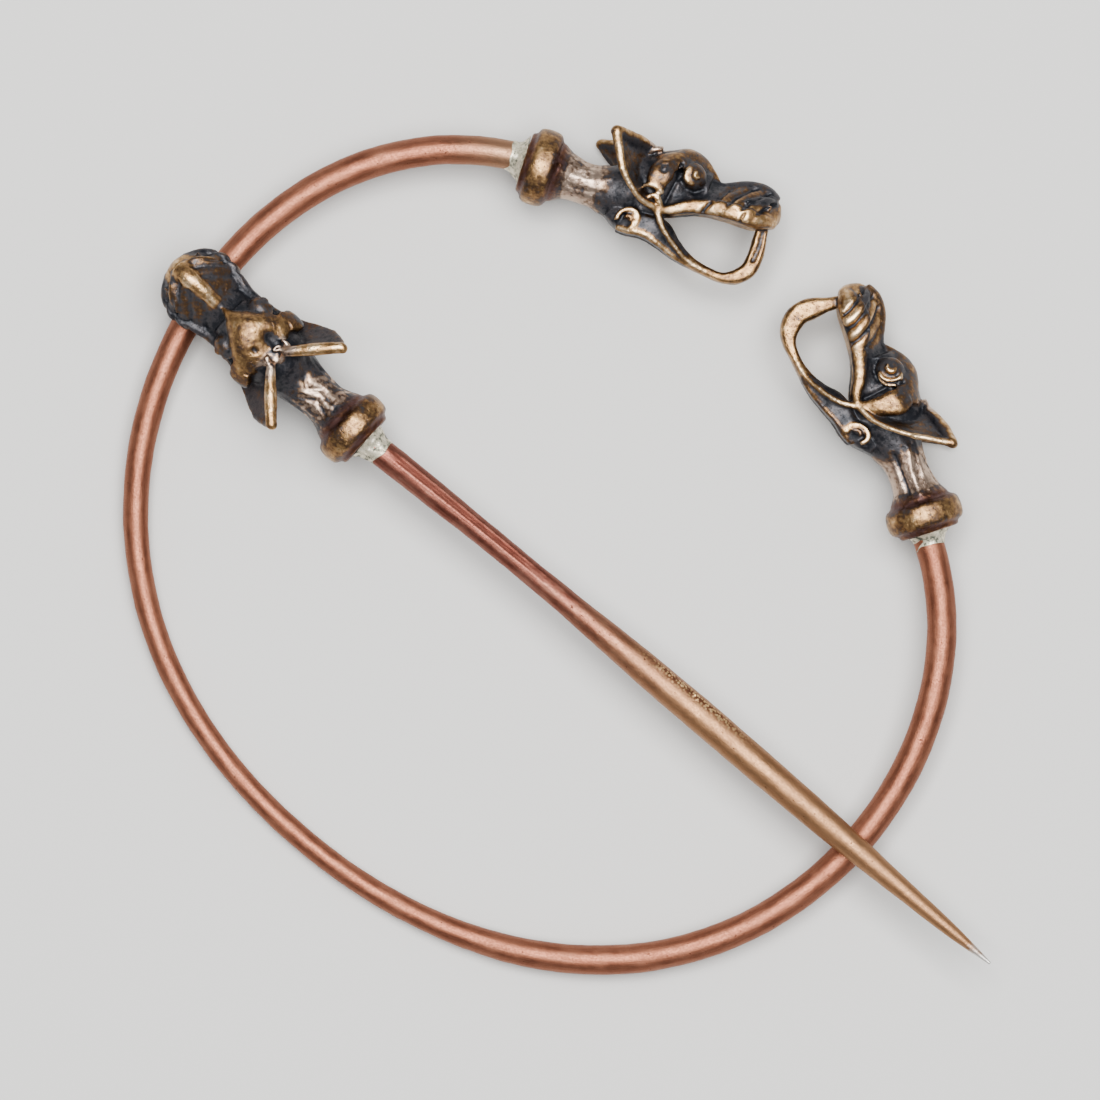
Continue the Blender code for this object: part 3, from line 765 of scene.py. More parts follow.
CREST_HOLLOWS = (  # depth and width, and a line of x and y on the top of the head
    (4.6, 7.5, ((112, -11), (119, -11))),
    (2.6, 2.6, ((121, 9), (123, 9))),
    (1.6, 2.5, ((34, -4), (48, -8), (60, 2), (70, -6))),
    (1.6, 2.5, ((30, 8), (44, 4), (58, 12))),
)


def over_crown(corners):
    """1 over the four-cornered plate above the eyes, seen from the top, and 0 beside it."""
    x, y, _ = corners.T
    along = np.where(x > 119, (x - 119) / 55, (119 - x) / 27)
    return 1 - smoothstep(0.84, 0.98, np.abs(y) / 45 + along)


def near_lines(points, lines):
    """How much each point of a plane is sunk: each line's depth times a bell over its width."""
    sunk = np.zeros(len(points))
    for depth, width, line in lines:
        line = np.asarray(line, float)
        start, end = line[:-1], line[1:]
        along = end - start
        offset = points[:, None] - start
        share = np.clip(np.einsum("psk,sk->ps", offset, along) / (along**2).sum(axis=1), 0, 1)
        reach = np.linalg.norm(offset - share[..., None] * along, axis=-1).min(axis=1)
        sunk += depth * np.exp(-((reach / width) ** 2))
    return sunk


def carved(corners, normals, cut):
    """How much the fine carving sinks each corner: the side grooves where it faces sideways, the
    hollows of the crest where it faces up."""
    x, y, z = corners.T
    sideways = smoothstep(0.25, 0.6, np.abs(normals[:, 1])) * smoothstep(6, 12, np.abs(y))
    upwards = smoothstep(0.35, 0.75, normals[:, 2]) * smoothstep(12, 18, z)
    on_snout = smoothstep(168, 178, x) * (z > LIP - 6)
    depth = 1 + on_snout * (cut.snout * (1 - cut.lips * (1 - smoothstep(3, 9, z))) - 1)
    sides = depth * near_lines(corners[:, [0, 2]], SIDE_GROOVES)
    sides += cut.neck * near_lines(corners[:, [0, 2]], NECK_GROOVES)
    sides += cut.folded * near_lines(corners[:, [0, 2]], OWN_GROOVES)
    return sides * sideways + near_lines(corners[:, :2], CREST_HOLLOWS) * upwards


def corners_of(mesh):
    """Corners, normals and edges of a mesh as arrays."""
    corners = np.empty(len(mesh.vertices) * 3)
    mesh.vertices.foreach_get("co", corners)
    normals = np.empty(len(mesh.vertices) * 3)
    mesh.vertices.foreach_get("normal", normals)
    edges = np.empty(len(mesh.edges) * 2, np.int32)
    mesh.edges.foreach_get("vertices", edges)
    return corners.reshape(-1, 3), normals.reshape(-1, 3), edges.reshape(-1, 2)


def relaxed(values, edges, rounds):
    """Values at the corners, each moved again and again half way to the mean of its neighbours."""
    values = np.array(values, float).reshape(len(values), -1)
    first, second = edges.T
    count = len(values)
    degree = np.bincount(first, minlength=count) + np.bincount(second, minlength=count)
    for _ in range(rounds):
        for column in range(values.shape[1]):
            value = values[:, column]
            total = np.bincount(first, value[second], count)
            total += np.bincount(second, value[first], count)
            values[:, column] = value + 0.5 * (total / degree - value)
    return values


def casting(sizes, cut, near):
    """The cast skin of one head in squares, with a value for each place's brightness from wear,
    patina and painted shade.

    The carved shapes are joined in voxels, and each corner takes the brightness of the nearest
    shape. The near side is the one where y has the sign of near.
    """
    shapes = list(head_core(cut))
    for far in (0, 1):
        for tone, grid in head_side(cut, far):
            tone = np.broadcast_to(tone, grid.shape[:2])
            if far != (near < 0):
                tone, grid = tone[:, ::-1], (grid * (1, -1, 1))[:, ::-1]
            shapes.append((tone, grid))
    points, faces = joined([skin(grid) for _, grid in shapes])
    tones = []
    for tone, grid in shapes:
        rings = np.broadcast_to(tone, grid.shape[:2])
        tones += [rings.ravel(), rings[:1].mean(axis=1), rings[-1:].mean(axis=1)]
    tones = np.concatenate(tones)
    raw = bpy.data.objects.new("raw", new_mesh("raw", points, faces))
    bpy.context.scene.collection.objects.link(raw)
    colour = raw.data.color_attributes.new("tone", "FLOAT_COLOR", "POINT")
    colour.data.foreach_set("color", np.repeat(tones, 4).astype(np.float32))

    cast = raw.modifiers.new("cast", "REMESH")
    cast.mode = "VOXEL"
    cast.voxel_size = sizes.voxel / SQUARE
    graph = bpy.context.evaluated_depsgraph_get()
    mesh = bpy.data.meshes.new_from_object(raw.evaluated_get(graph))
    raw.modifiers.clear()

    made = bpy.data.objects.new("made", mesh)
    bpy.context.scene.collection.objects.link(made)
    mesh.color_attributes.new("tone", "FLOAT_COLOR", "POINT")
    carry = made.modifiers.new("carry", "DATA_TRANSFER")
    carry.object = raw
    carry.use_vert_data = True
    carry.data_types_verts = {"COLOR_VERTEX"}
    carry.vert_mapping = "POLYINTERP_NEAREST"
    carry.layers_vcol_vert_select_src = "ALL"
    graph = bpy.context.evaluated_depsgraph_get()
    toned = bpy.data.meshes.new_from_object(made.evaluated_get(graph))
    found = np.empty(len(toned.vertices) * 4, np.float32)
    toned.color_attributes["tone"].data.foreach_get("color", found)
    for helper in (raw, made):
        bpy.data.objects.remove(helper)

    corners, _, edges = corners_of(toned)
    corners = relaxed(corners, edges, sizes.smoothings)
    tones = relaxed(found.reshape(-1, 4)[:, 0], edges, sizes.smoothings)[:, 0]
    around = np.empty(len(toned.loops), np.int32)
    toned.loops.foreach_get("vertex_index", around)
    counts = np.empty(len(toned.polygons), np.int32)
    toned.polygons.foreach_get("loop_total", counts)
    faces = [part.tolist() for part in np.split(around, np.cumsum(counts)[:-1])]
    return corners, faces, tones


def head(name, body, node, matrix, lift, cut, seed):
    """One dragon head: its casting, fine carving and bent neck, and where its metal is worn.

    A corner moves along its normal by the grooves near it and by a little random unevenness. It is
    worn where it stands out of the same skin smoothed, and dark where it lies deeper than that.
    """
    sizes = bpy.context.scene.brooch_heads
    corners, faces, tones = casting(sizes, cut, 1 if matrix.col[1].z > 0 else -1)
    mesh = new_mesh(name, corners, faces)
    _, normals, edges = corners_of(mesh)
    uneven = 0.22 * waves(corners, 14, seed) + 0.12 * waves(corners, 5, seed + 1)
    pitted = smoothstep(198, 212, corners[:, 0]) * (corners[:, 2] < -14)  # the front of the jaw
    uneven -= 1.3 * pitted * smoothstep(0.9, 1.6, waves(corners, 9, seed + 2))
    sunk = carved(corners, normals, cut)
    shaped = relaxed(corners + normals * (uneven - sunk)[:, None], edges, 1)
    x, y, z = shaped.T
    facing_up = smoothstep(0.35, 0.7, normals[:, 2])
    tones = np.maximum(tones, cut.crest * over_crown(corners) * facing_up)
    tones = tones * (1 - 0.75 * smoothstep(1.2, 3.3, sunk))

    def standing_out(rounds, full):
        """How far each corner stands out of the skin smoothed so often, 1 being this far out."""
        out = ((shaped - relaxed(shaped, edges, rounds)) * normals).sum(axis=1)
        return np.clip(out / full, -1, 1)

    fine = standing_out(8, 0.5)
    coarse = standing_out(90, 4.5)
    # Besides wear and patina, worn holds the painted shade that the tones carry: the dark hinge and
    # a pin head's darkened sides
    worn = 0.06 + 0.78 * tones + fine * (0.04 + 0.2 * tones)
    worn += coarse * np.where(coarse < 0, 0.26, 0.12 * tones)
    on_neck = smoothstep(14, 24, x) * (1 - smoothstep(56, 76, x))
    neck = on_neck * (1 - smoothstep(30, 36, np.hypot(y, z)))
    crown = smoothstep(90, 96, x) * (1 - smoothstep(110, 115, x)) * (np.abs(y) < 22) * (z > 30)
    beside = smoothstep(9, 13, np.abs(x)) * (1 - smoothstep(17, 26, np.abs(x)))  # the collar
    bent = lift * smoothstep(BEND_FROM, BEND_TO, x)
    placed = moved(shaped * SQUARE + bent[:, None] * Z, matrix)
    mesh.vertices.foreach_set("co", placed.ravel())
    mesh.update()
    pale = np.maximum(neck, crown)
    worn += cut.mottle * pale * (waves(shaped, 9, seed + 3) + 0.6 * waves(shaped, 4, seed + 4))
    for field, values in (("worn", worn), ("pale", pale), ("red", beside)):
        point_field(mesh, field, values)
    return piece(mesh, body, node, bronze())


# Materials


class Board:
    """A material's nodes, made and joined by short calls."""

    def __init__(self, name):
        self.material = bpy.data.materials.new(name)
        self.material.use_nodes = True
        self.tree = self.material.node_tree
        self.shader = self.tree.nodes["Principled BSDF"]
        self.place = self.add("ShaderNodeTexCoord").outputs["Object"]

    def add(self, kind, settings=(), **inputs):
        node = self.tree.nodes.new(kind)
        for name, value in dict(settings).items():
            setattr(node, name, value)
        for name, value in inputs.items():
            self.put(node, name.replace("_", " "), value)
        return node

    def put(self, node, name, value):
        """Joins a socket to this input, or sets the input to a value."""
        if isinstance(value, bpy.types.NodeSocket):
            self.tree.links.new(value, node.inputs[name])
        else:
            node.inputs[name].default_value = value

    def field(self, name):
        return self.add("ShaderNodeAttribute", {"attribute_name": name}).outputs["Fac"]

    def vector(self, name):
        return self.add("ShaderNodeAttribute", {"attribute_name": name}).outputs["Vector"]

    def noise(self, scale, detail, roughness, place=None):
        node = self.add("ShaderNodeTexNoise", Scale=scale, Detail=detail, Roughness=roughness)
        self.put(node, "Vector", place or self.place)
        return node.outputs["Fac"]

    def grains(self, scale):
        """How far each place is from the middle of its grain, from 0."""
        node = self.add("ShaderNodeTexVoronoi", Scale=scale)
        self.put(node, "Vector", self.place)
        return node.outputs["Distance"]

    def maths(self, operation, *values):
        node = self.add("ShaderNodeMath", {"operation": operation})
        for socket, value in zip(node.inputs, values):
            if isinstance(value, bpy.types.NodeSocket):
                self.tree.links.new(value, socket)
            else:
                socket.default_value = value
        return node.outputs[0]

    def between(self, value, low, high, low_to=0.0, high_to=1.0):
        """The value's way from low to high, clamped and put on another range."""
        node = self.add("ShaderNodeMapRange", {"interpolation_type": "SMOOTHSTEP"}, Value=value)
        ends = {"From Min": low, "From Max": high, "To Min": low_to, "To Max": high_to}
        for name, number in ends.items():
            node.inputs[name].default_value = number
        return node.outputs["Result"]

    def ramp(self, value, stops):
        """A colour from stops, each a place from 0 to 1 and a colour."""
        node = self.add("ShaderNodeValToRGB", Fac=value)
        elements = node.color_ramp.elements
        while len(elements) < len(stops):
            elements.new(0.5)
        for element, (place, colour) in zip(elements, stops):
            element.position = place
            element.color = (*tuple(colour)[:3], 1.0)
        return node.outputs["Color"]

    def blend(self, share, first, second):
        """One colour turning into another."""
        node = self.add("ShaderNodeMix", {"data_type": "RGBA"})
        ends = {0: share, 6: first, 7: second}  # the inputs of a mix of colours
        for socket, value in ((node.inputs[number], value) for number, value in ends.items()):
            if isinstance(value, bpy.types.NodeSocket):
                self.tree.links.new(value, socket)
            else:
                plain = isinstance(value, float)
                socket.default_value = value if plain else (*tuple(value)[:3], 1.0)
        return node.outputs[2]

    def bump(self, height, distance, strength):
        node = self.add("ShaderNodeBump", Height=height, Distance=distance, Strength=strength)
        return node.outputs["Normal"]

    def finish(self, **inputs):
        for name, value in inputs.items():
            self.put(self.shader, name.replace("_", " "), value)
        return self.material


def bronze():
    """Cast bronze: dark in its recesses, brown on its flats and rubbed bright where it stands out.

    Its neck and crown are paler than the rest and mottled, and it is reddish beside the collar.
    """
    sizes = bpy.context.scene.brooch_heads
    board = Board("bronze")
    cloud = board.noise(700, 5, 0.62)
    patch = board.noise(1700, 4, 0.6)
    speck = board.noise(3600, 3, 0.55)
    grain = board.noise(9000, 2, 0.6)
    pale = board.field("pale")
    worn = board.maths("ADD", board.field("worn"), board.between(cloud, 0.3, 0.7, -0.16, 0.14))
    worn = board.maths("ADD", worn, board.between(patch, 0.3, 0.7, -0.13, 0.1))
    worn = board.maths("ADD", worn, board.between(speck, 0.3, 0.7, -0.07, 0.06))
    worn = board.maths("ADD", worn, board.between(speck, 0.6, 0.7, 0.0, -0.25))
    stops = (
        (0.0, sizes.recess), (0.3, sizes.shade), (0.52, sizes.brown), (0.78, sizes.gold),
        (1.0, sizes.bright),
    )
    colour = board.ramp(worn, stops)
    silvery = board.maths("MULTIPLY", pale, board.between(worn, 0.35, 0.75, 0.0, 0.65))
    colour = board.blend(silvery, colour, sizes.silver)
    colour = board.blend(board.maths("MULTIPLY", board.field("red"), 0.55), colour, sizes.red)
    pits = board.between(speck, 0.56, 0.7)
    rise = board.maths("MULTIPLY_ADD", pits, -0.8, board.maths("MULTIPLY", grain, 0.4))
    surface = board.bump(board.maths("ADD", rise, cloud), 0.00004, 0.6)
    return board.finish(
        Base_Color=colour,
        Metallic=board.between(worn, 0.1, 0.5, 0.4, 1.0),
        Roughness=board.between(worn, 0.2, 0.95, 0.41, 0.36),
        Normal=surface,
    )


def wire_metal(name, sizes, finishes):
    """Drawn wire: fine lines along it, soft clouds of colour, dark flecks and small pits."""
    board = Board(name)
    grain = board.vector("grain")
    lines = board.noise(2600, 3, 0.6, grain)
    fine = board.noise(8000, 2, 0.6, grain)
    cloud = board.noise(420, 4, 0.6)
    fleck = board.noise(2600, 3, 0.55)
    tone = board.maths(
        "ADD",
        board.between(lines, 0.25, 0.75, -0.22, 0.22),
        board.between(cloud, 0.25, 0.75, 0.3, 0.7),
    )
    colour = board.ramp(tone, ((0.0, sizes.dark), (0.5, sizes.middle), (1.0, sizes.light)))
    colour = finishes(board, colour, cloud, fleck)
    dark = board.between(fleck, 0.68, 0.76, 0.0, 0.8)
    colour = board.blend(dark, colour, sizes.fleck)
    pits = board.between(fleck, 0.66, 0.76, 0.0, -1.0)
    rise = board.maths("MULTIPLY", lines, 0.6)
    rise = board.maths("ADD", rise, board.maths("MULTIPLY", fine, 0.3))
    orange_peel = board.noise(5200, 3, 0.6)
    rise = board.maths("MULTIPLY_ADD", orange_peel, 0.8, rise)
    surface = board.bump(board.maths("ADD", rise, pits), 0.00003, 0.75)
    dull = board.between(cloud, 0.3, 0.7, sizes.roughness - 0.04, sizes.roughness + 0.05)
    return board.finish(
        Base_Color=colour,
        Metallic=1.0,
        Roughness=board.maths("ADD", dull, board.between(orange_peel, 0.35, 0.65, -0.06, 0.06)),
        Normal=surface,
    )


def grain_field(mesh, along, around, radii):
    """Keeps for each corner its place on the wire laid straight, and ten times shorter."""
    circle = radii[:, None] * np.cos(around), radii[:, None] * np.sin(around)
    values = np.stack(np.broadcast_arrays(along[:, None] * 0.1, *circle), axis=-1).reshape(-1, 3)
    values = np.concatenate((values, values[:1], values[-1:]))
    field = mesh.attributes.new("grain", "FLOAT_VECTOR", "POINT")
    field.data.foreach_set("vector", values.astype(np.float32).ravel())


def tube(path, across, radii, around, relief=0.0):
    """Rings of a level wire: round each point of the path, a circle of its radius and relief.

    The relief is added to the radius. It has a row for each ring and a column for each side.
    """
    reach = radii[:, None] + relief
    return (
        path[:, None]
        + (reach * np.cos(around))[..., None] * across[:, None]
        + (reach * np.sin(around))[..., None] * Z
    )


# Sizes and colours


def length(name, description, default):
    return FloatProperty(
        name=name, description=description, default=default, unit="LENGTH", precision=5
    )


def power(name, description, default):
    return FloatProperty(name=name, description=description, default=default, subtype="POWER")


def roughness(name, description, default):
    return FloatProperty(
        name=name, description=description, default=default, min=0, max=1, subtype="FACTOR"
    )


def colour(name, description, default):
    return FloatVectorProperty(
        name=name, description=description, default=default, subtype="COLOR", size=3, min=0, max=1
    )


class HoopSizes(bpy.types.PropertyGroup):
    """Sizes and colours of the hoop."""

    radius: length("Wire radius", "Radius of the hoop's wire at both ends", 0.0015)
    thin_radius: length("Thinnest radius", "Radius of the wire opposite the gap", 0.00117)
    dents: length("Dents", "How deep the hammering has dented the wire", 0.000022)
    roughness: roughness("Roughness", "Roughness of the copper", 0.5)
    light: colour("Light copper", "Colour of its rubbed places", (0.43, 0.208, 0.138))
    middle: colour("Copper", "Colour of most of the wire", (0.335, 0.149, 0.096))
    dark: colour("Dark copper", "Colour of its dull places", (0.22, 0.09, 0.06))
    fleck: colour("Flecks", "Colour of its dark flecks", (0.07, 0.02, 0.015))
    wash: colour("Solder wash", "Colour of the wire near the left head", (0.4, 0.25, 0.16))


class PinSizes(bpy.types.PropertyGroup):
    """Sizes and colours of the pin."""

    length: length("Length", "From the collar's back to the point", 0.0807)
    radius: length("Radius at the head", "Radius of the shank behind its head", 0.0014)
    waist_radius: length("Waist radius", "Radius where the shank is slimmest", 0.00125)
    belly_radius: length("Belly radius", "Radius where the shank is fullest", 0.0016)
    point_radius: length("Point radius", "Radius of the very point", 0.00015)
    dents: length("Dents", "How deep the hammering has dented the shank", 0.000018)
    roughness: roughness("Roughness", "Roughness of the metal", 0.48)
    light: colour("Light copper", "Colour of its rubbed places", (0.40, 0.21, 0.16))
    middle: colour("Copper", "Colour of the shank near its head", (0.28, 0.12, 0.09))
    dark: colour("Dark copper", "Colour of its dull places", (0.17, 0.055, 0.04))
    gold: colour("Golden bronze", "Colour from its middle to the point", (0.40, 0.235, 0.13))
    # The grains are lighter than the pin's gold: their own gold with a painted highlight on them
    grains: colour("Gold grains", "Colour of the grainy patch on its side", (0.92, 0.66, 0.36))
    silver: colour("Silver", "Colour of the very point", (0.75, 0.73, 0.70))
    fleck: colour("Flecks", "Colour of its dark flecks", (0.06, 0.02, 0.015))


class HeadSizes(bpy.types.PropertyGroup):
    """Fineness and colours of the cast heads."""

    voxel: length("Voxel", "Grain of the casting", 0.000128)
    smoothings: IntProperty(
        name="Smoothings", description="Rounds of smoothing after casting", default=3, min=0
    )
    recess: colour("Recess", "Colour deep in the carving", (0.017, 0.018, 0.023))
    shade: colour("Shade", "Colour of its dull flats", (0.082, 0.076, 0.08))
    brown: colour("Brown bronze", "Colour of its flats", (0.19, 0.115, 0.066))
    gold: colour("Golden bronze", "Colour of what stands out", (0.44, 0.275, 0.135))
    bright: colour("Polished bronze", "Colour of its rubbed edges", (0.68, 0.51, 0.33))
    silver: colour("Pale neck", "Colour of the rubbed neck and crown", (0.56, 0.46, 0.41))
    red: colour("Reddish grooves", "Colour beside the collar", (0.13, 0.045, 0.03))


class SolderSizes(bpy.types.PropertyGroup):
    """Sizes and colours of the solder."""

    lumps: length("Lumps", "How uneven the solder is", 0.00012)
    bright: colour("Bright solder", "Colour of its high places", (0.86, 0.80, 0.66))
    light: colour("Light solder", "Colour of its smooth places", (0.52, 0.48, 0.37))
    dark: colour("Dark solder", "Colour of its pits", (0.09, 0.10, 0.08))


class StageSizes(bpy.types.PropertyGroup):
    """Floor, light and camera."""

    view: length("View", "Width of what the camera sees", 0.11)
    distance: length("Camera distance", "From the camera to the hoop", 0.7)
    floor: colour("Floor", "Colour of the floor", (0.66, 0.65, 0.63))
    key: power("Key light", "Power of the key light", 9.5)
    spark: power("Spark", "Power of the small light", 0.7)


# Pieces


class BROOCH_OT_hoop(bpy.types.Operator):
    """Makes the hoop of round copper wire"""

    bl_idname = "brooch.hoop"
    bl_label = "Hoop"

    def execute(self, context):
        sizes = context.scene.brooch_hoop
        rings, sides = HOOP_GRID
        shares = np.linspace(0, 1, rings)
        around = np.linspace(0, 2 * np.pi, sides, endpoint=False)
        places, headings = hoop_line(shares)
        path = np.column_stack((places, 0 * shares))
        across = np.column_stack((np.sin(headings), -np.cos(headings), 0 * shares))
        radii = hoop_radius(shares, sizes)
        bare = tube(path, across, radii, around)
        relief = sizes.dents * (dented(bare, HOOP_DENT_LENGTHS, 1) - 1)
        grid = tube(path, across, radii, around, relief)
        mesh = new_mesh("copper_hoop", *joined([skin(moved(grid, brooch_matrix()))]))
        grain_field(mesh, shares * HOOP_LENGTH, around, radii)
        wire_field(mesh, "along", np.repeat(shares, sides), 0, 1)

        def finishes(board, base, cloud, _):
            along = board.maths("MULTIPLY_ADD", cloud, 0.02, board.field("along"))
            end = board.between(along, 0.012, 0.055, 1.0, 0.0)
            return board.blend(board.maths("MULTIPLY", end, 0.85), base, sizes.wash)

        piece(mesh, "ring", "hoop", wire_metal("copper", sizes, finishes))
        return {"FINISHED"}


class BROOCH_OT_pin(bpy.types.Operator):
    """Makes the pin's straight shank with its long point"""

    bl_idname = "brooch.pin"
    bl_label = "Pin"

    def execute(self, context):
        sizes = context.scene.brooch_pin
        rings, sides = PIN_GRID
        shares = np.linspace(0, 1, rings)
        around = np.linspace(0, 2 * np.pi, sides, endpoint=False)
        bowed = np.clip(shares - BOW_START, 0, 1)
        bow = PIN_BOW * 27 / 4 * bowed * (1 - bowed) ** 2  # fullest at a third of the shank
        path = np.outer(-collar_back() - GAP - sizes.length * shares, X) - np.outer(bow, Y)
        across = np.broadcast_to(Y, path.shape)
        radii = pin_radius(shares, sizes)
        bare = tube(path, across, radii, around)
        relief = sizes.dents * dented(bare, PIN_DENT_LENGTHS, 4)

        along = shares[:, None]
        turn = np.degrees(around)
        start, full, fading, end = FLAT_SHARES
        near = smoothstep(start, full, along) * (1 - smoothstep(fading, end, along))
        flat = np.exp(-(((turn - FLAT_ANGLE) / FLAT_WIDTH) ** 4))
        edges = sum(np.exp(-(((turn - angle) / EDGE_WIDTH) ** 2)) for angle in FLAT_EDGES)
        relief += near * (EDGE_HEIGHT * edges - FLAT_DEPTH * flat)
        patch = np.exp(-(((turn - PATCH_ANGLE) / PATCH_WIDTH) ** 2))
        patch = patch * np.exp(-(((along - PATCH_SHARE) / PATCH_REACH) ** 4))
        relief += patch * GRAIN_HEIGHT * np.abs(waves(bare, GRAIN_LENGTH, 7))
        relief *= np.clip(radii / FULL_RELIEF_RADIUS, 0, 1)[:, None]
        grid = tube(path, across, radii, around, relief)

        _, shank = pin_matrices()
        mesh = new_mesh("copper_pin", *joined([skin(moved(grid, shank))]))
        grain_field(mesh, shares * sizes.length, around, radii)
        wire_field(mesh, "along", np.repeat(shares, sides), 0, 1)
        wire_field(mesh, "patch", patch, 0, 0)
        wire_field(mesh, "band", near * flat, 0, 0)

        def finishes(board, base, cloud, fleck):
            along = board.maths("MULTIPLY_ADD", cloud, 0.12, board.field("along"))
            golden = board.between(along, 0.3, 0.62, 0.0, 0.9)
            base = board.blend(golden, base, sizes.gold)
            base = board.blend(board.maths("MULTIPLY", board.field("band"), 0.7), base, sizes.dark)
            patch = board.field("patch")
            # The patch is darkened under its grains, which are then lightened far past the pin's
            # gold: their own gold with a painted highlight
            base = board.blend(board.maths("MULTIPLY", patch, 0.6), base, sizes.dark)
            spots = board.between(board.grains(3400), 0.3, 0.6, 1.0, 0.0)
            grain = board.maths("MULTIPLY", patch, spots)
            base = board.blend(grain, base, sizes.grains)
            return board.blend(board.between(along, 1.02, 1.05), base, sizes.silver)

        material = wire_metal("gilt_copper", sizes, finishes)
        piece(mesh, "swinging_pin", "pin", material)
        return {"FINISHED"}


class BROOCH_OT_heads(bpy.types.Operator):
    """Makes the three cast dragon heads"""

    bl_idname = "brooch.heads"
    bl_label = "Dragon heads"

    def execute(self, context):
        for number, (side, end, way, turn, offset, lift) in enumerate(TERMINALS):
            matrix, _ = terminal_matrices(end, way, turn, offset)
            head(f"{side}_head", "ring", f"{side}_terminal", matrix, lift, CUTS[side], 20 + number)
        matrix, _ = pin_matrices()
        head("head_of_pin", "swinging_pin", "pin_head", matrix, 0, CUTS["pin"], 30)
        return {"FINISHED"}


def fillet(bore, long, wide, lumps, offset, number):
    """Rings of the solder between a wire and the back of a collar, along X.

    The radius grows from the wire's to the fillet's own by a power of the share along it. The thin
    edge is ragged, the rest lumpy, and both ends close towards the middle inside the wire.
    """
    rings, sides = FILLET_GRID
    share = np.linspace(0, 1, rings)[:, None]
    around = np.linspace(0, 2 * np.pi, sides, endpoint=False)
    circle = np.cos(around)[:, None] * Y + np.sin(around)[:, None] * Z
    radii = bore + FILLET_CLEARANCE + (wide - bore) * share**FILLET_FLARE
    ragged = waves(np.roll(circle, -1, axis=1), RAGGED_LENGTH, 40 + number) * RAGGED_EDGE
    x = -long + (long + GAP) * share - ragged * (1 - share)
    outer = x[..., None] * X + radii[..., None] * circle + (offset * share)[..., None] * Z
    lumpy = lumps * smoothstep(0.1, 0.6, share) * waves(outer, LUMP_LENGTH, 50 + number)
    outer = outer + lumpy[..., None] * circle
    return np.concatenate((outer[:1] * (1, 0.75, 0.75), outer, outer[-1:] * (1, 0.7, 0.7)))


class BROOCH_OT_solder(bpy.types.Operator):
    """Makes the solder that joins each head to its wire"""

    bl_idname = "brooch.solder"
    bl_label = "Solder"

    def execute(self, context):
        sizes = context.scene.brooch_solder
        board = Board("solder")
        lump = board.noise(1900, 5, 0.7)
        shades = ((0.38, sizes.dark), (0.47, sizes.light), (0.62, sizes.bright))
        colour_of_it = board.ramp(lump, shades)
        material = board.finish(
            Base_Color=colour_of_it,
            Metallic=board.between(lump, 0.35, 0.6, 0.3, 0.8),
            Roughness=board.between(lump, 0.35, 0.65, 0.65, 0.4),
            Normal=board.bump(lump, 0.0001, 0.7),
        )
        places = []
        for side, end, way, turn, offset, _ in TERMINALS:
            _, matrix = terminal_matrices(end, way, turn, offset)
            places.append((side, "ring", matrix, offset))
        _, shank = pin_matrices()
        behind = shank @ Matrix.Translation((-collar_back() - GAP, 0, 0))
        places.append(("pin", "swinging_pin", behind, 0))
        for number, (name, body, matrix, offset) in enumerate(places):
            grid = fillet(*FILLETS[name], sizes.lumps, offset, number)
            mesh = new_mesh(f"{name}_fillet", *joined([skin(moved(grid, matrix))]))
            piece(mesh, body, f"{name}_solder", material)
        return {"FINISHED"}


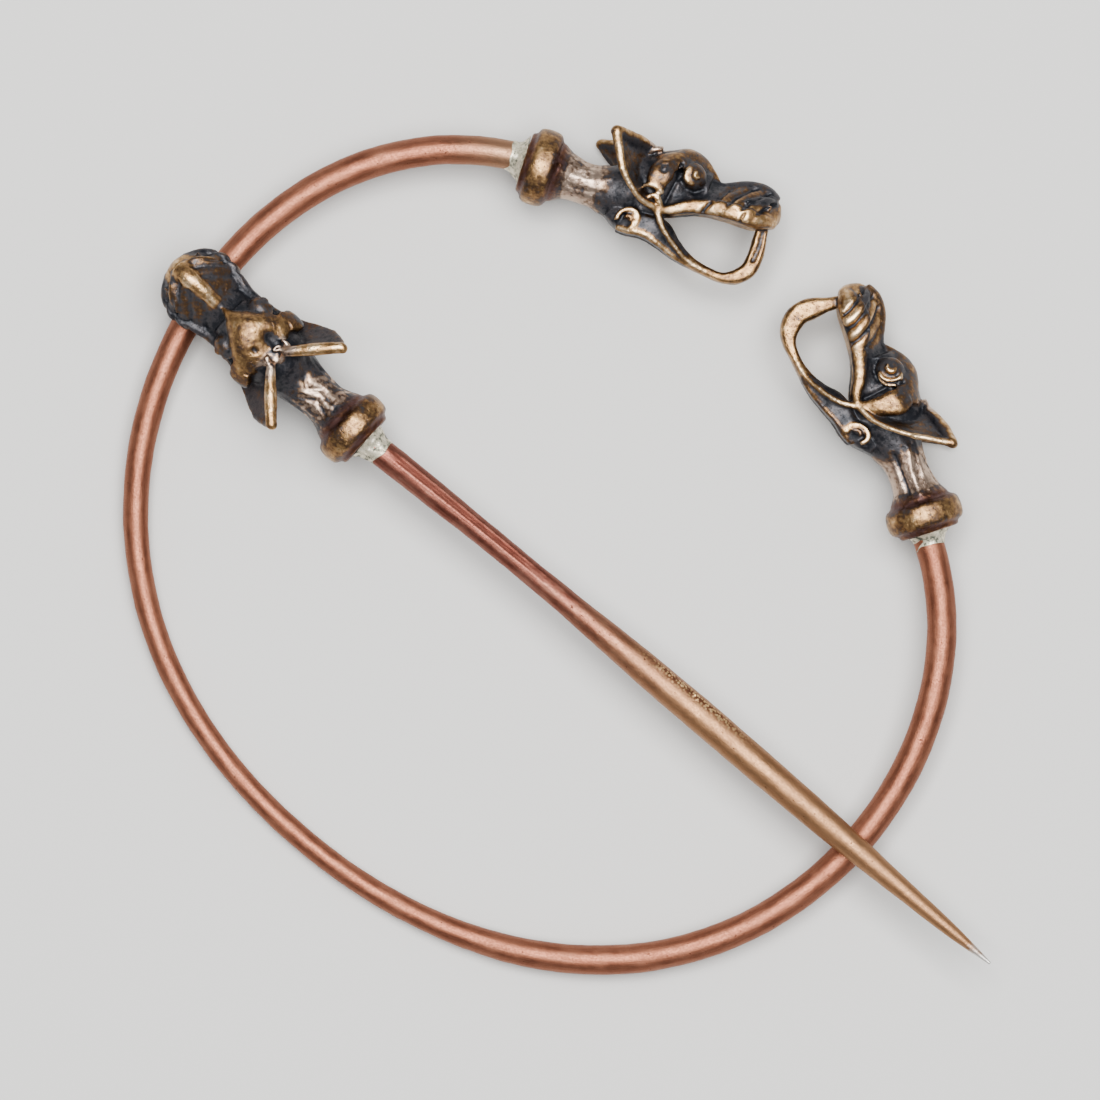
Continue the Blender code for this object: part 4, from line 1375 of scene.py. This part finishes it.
class BROOCH_OT_stage(bpy.types.Operator):
    """Makes the floor, the lights and the camera"""

    bl_idname = "brooch.stage"
    bl_label = "Stage"

    def execute(self, context):
        sizes = context.scene.brooch_stage
        corners = FLOOR_HALF * np.array(((-1, -1, 0), (1, -1, 0), (1, 1, 0), (-1, 1, 0)))
        mesh = new_mesh("floor", corners, [[0, 1, 2, 3]])
        floor = bpy.data.objects.new("floor", mesh)
        context.scene.collection.objects.link(floor)
        board = Board("floor")
        mesh.materials.append(board.finish(Base_Color=(*sizes.floor, 1.0), Roughness=0.85))

        laid = brooch_matrix()
        target = laid @ Vector(TARGET)
        normal = laid.to_3x3() @ Vector((0, 0, 1))
        upright = laid.to_3x3() @ Vector(UPRIGHT).normalized()
        right = upright.cross(normal)
        camera = bpy.data.cameras.new("camera")
        camera.sensor_width = SENSOR
        camera.lens = SENSOR * sizes.distance / sizes.view
        camera.clip_start = CLIP_START
        seen = bpy.data.objects.new("camera", camera)
        turn = Matrix((right, upright, normal)).transposed()
        seen.matrix_world = Matrix.Translation(target + normal * sizes.distance) @ turn.to_4x4()
        context.scene.collection.objects.link(seen)
        context.scene.camera = seen

        for name, width, (up, along, above) in LIGHTS:
            light = bpy.data.lights.new(name, "AREA")
            light.energy = getattr(sizes, name)
            light.size = width
            lamp = bpy.data.objects.new(name, light)
            place = target + upright * up + right * along + normal * above
            aim = (target - place).to_track_quat("-Z", "Y").to_matrix().to_4x4()
            lamp.matrix_world = Matrix.Translation(place) @ aim
            context.scene.collection.objects.link(lamp)
        world = bpy.data.worlds.new("world")
        world.use_nodes = True
        sky = world.node_tree.nodes["Background"].inputs
        sky["Color"].default_value = SKY
        sky["Strength"].default_value = SKY_STRENGTH
        context.scene.world = world
        context.scene.view_settings.look = "AgX - Medium High Contrast"
        return {"FINISHED"}


class BROOCH_PT_panel(bpy.types.Panel):
    """Sizes, colours and makers of the brooch"""

    bl_idname = "BROOCH_PT_panel"
    bl_label = "Penannular brooch"
    bl_space_type = "VIEW_3D"
    bl_region_type = "UI"
    bl_category = "Brooch"

    def draw(self, context):
        for name, maker in PARTS:
            box = self.layout.box()
            box.operator(maker.bl_idname)
            group = getattr(context.scene, name)
            for key in group.bl_rna.properties.keys():
                if key not in ("rna_type", "name"):
                    box.prop(group, key)


PARTS = (
    ("brooch_hoop", BROOCH_OT_hoop),
    ("brooch_pin", BROOCH_OT_pin),
    ("brooch_heads", BROOCH_OT_heads),
    ("brooch_solder", BROOCH_OT_solder),
    ("brooch_stage", BROOCH_OT_stage),
)
GROUPS = (HoopSizes, PinSizes, HeadSizes, SolderSizes, StageSizes)


def register():
    for group, (name, maker) in zip(GROUPS, PARTS):
        bpy.utils.register_class(group)
        setattr(bpy.types.Scene, name, PointerProperty(type=group))
        bpy.utils.register_class(maker)
    bpy.utils.register_class(BROOCH_PT_panel)


def unregister():
    bpy.utils.unregister_class(BROOCH_PT_panel)
    for group, (name, maker) in zip(GROUPS, PARTS):
        bpy.utils.unregister_class(maker)
        delattr(bpy.types.Scene, name)
        bpy.utils.unregister_class(group)


def main():
    register()
    bpy.ops.brooch.hoop()
    bpy.ops.brooch.pin()
    bpy.ops.brooch.heads()
    bpy.ops.brooch.solder()
    bpy.ops.brooch.stage()


if __name__ == "__main__":
    main()
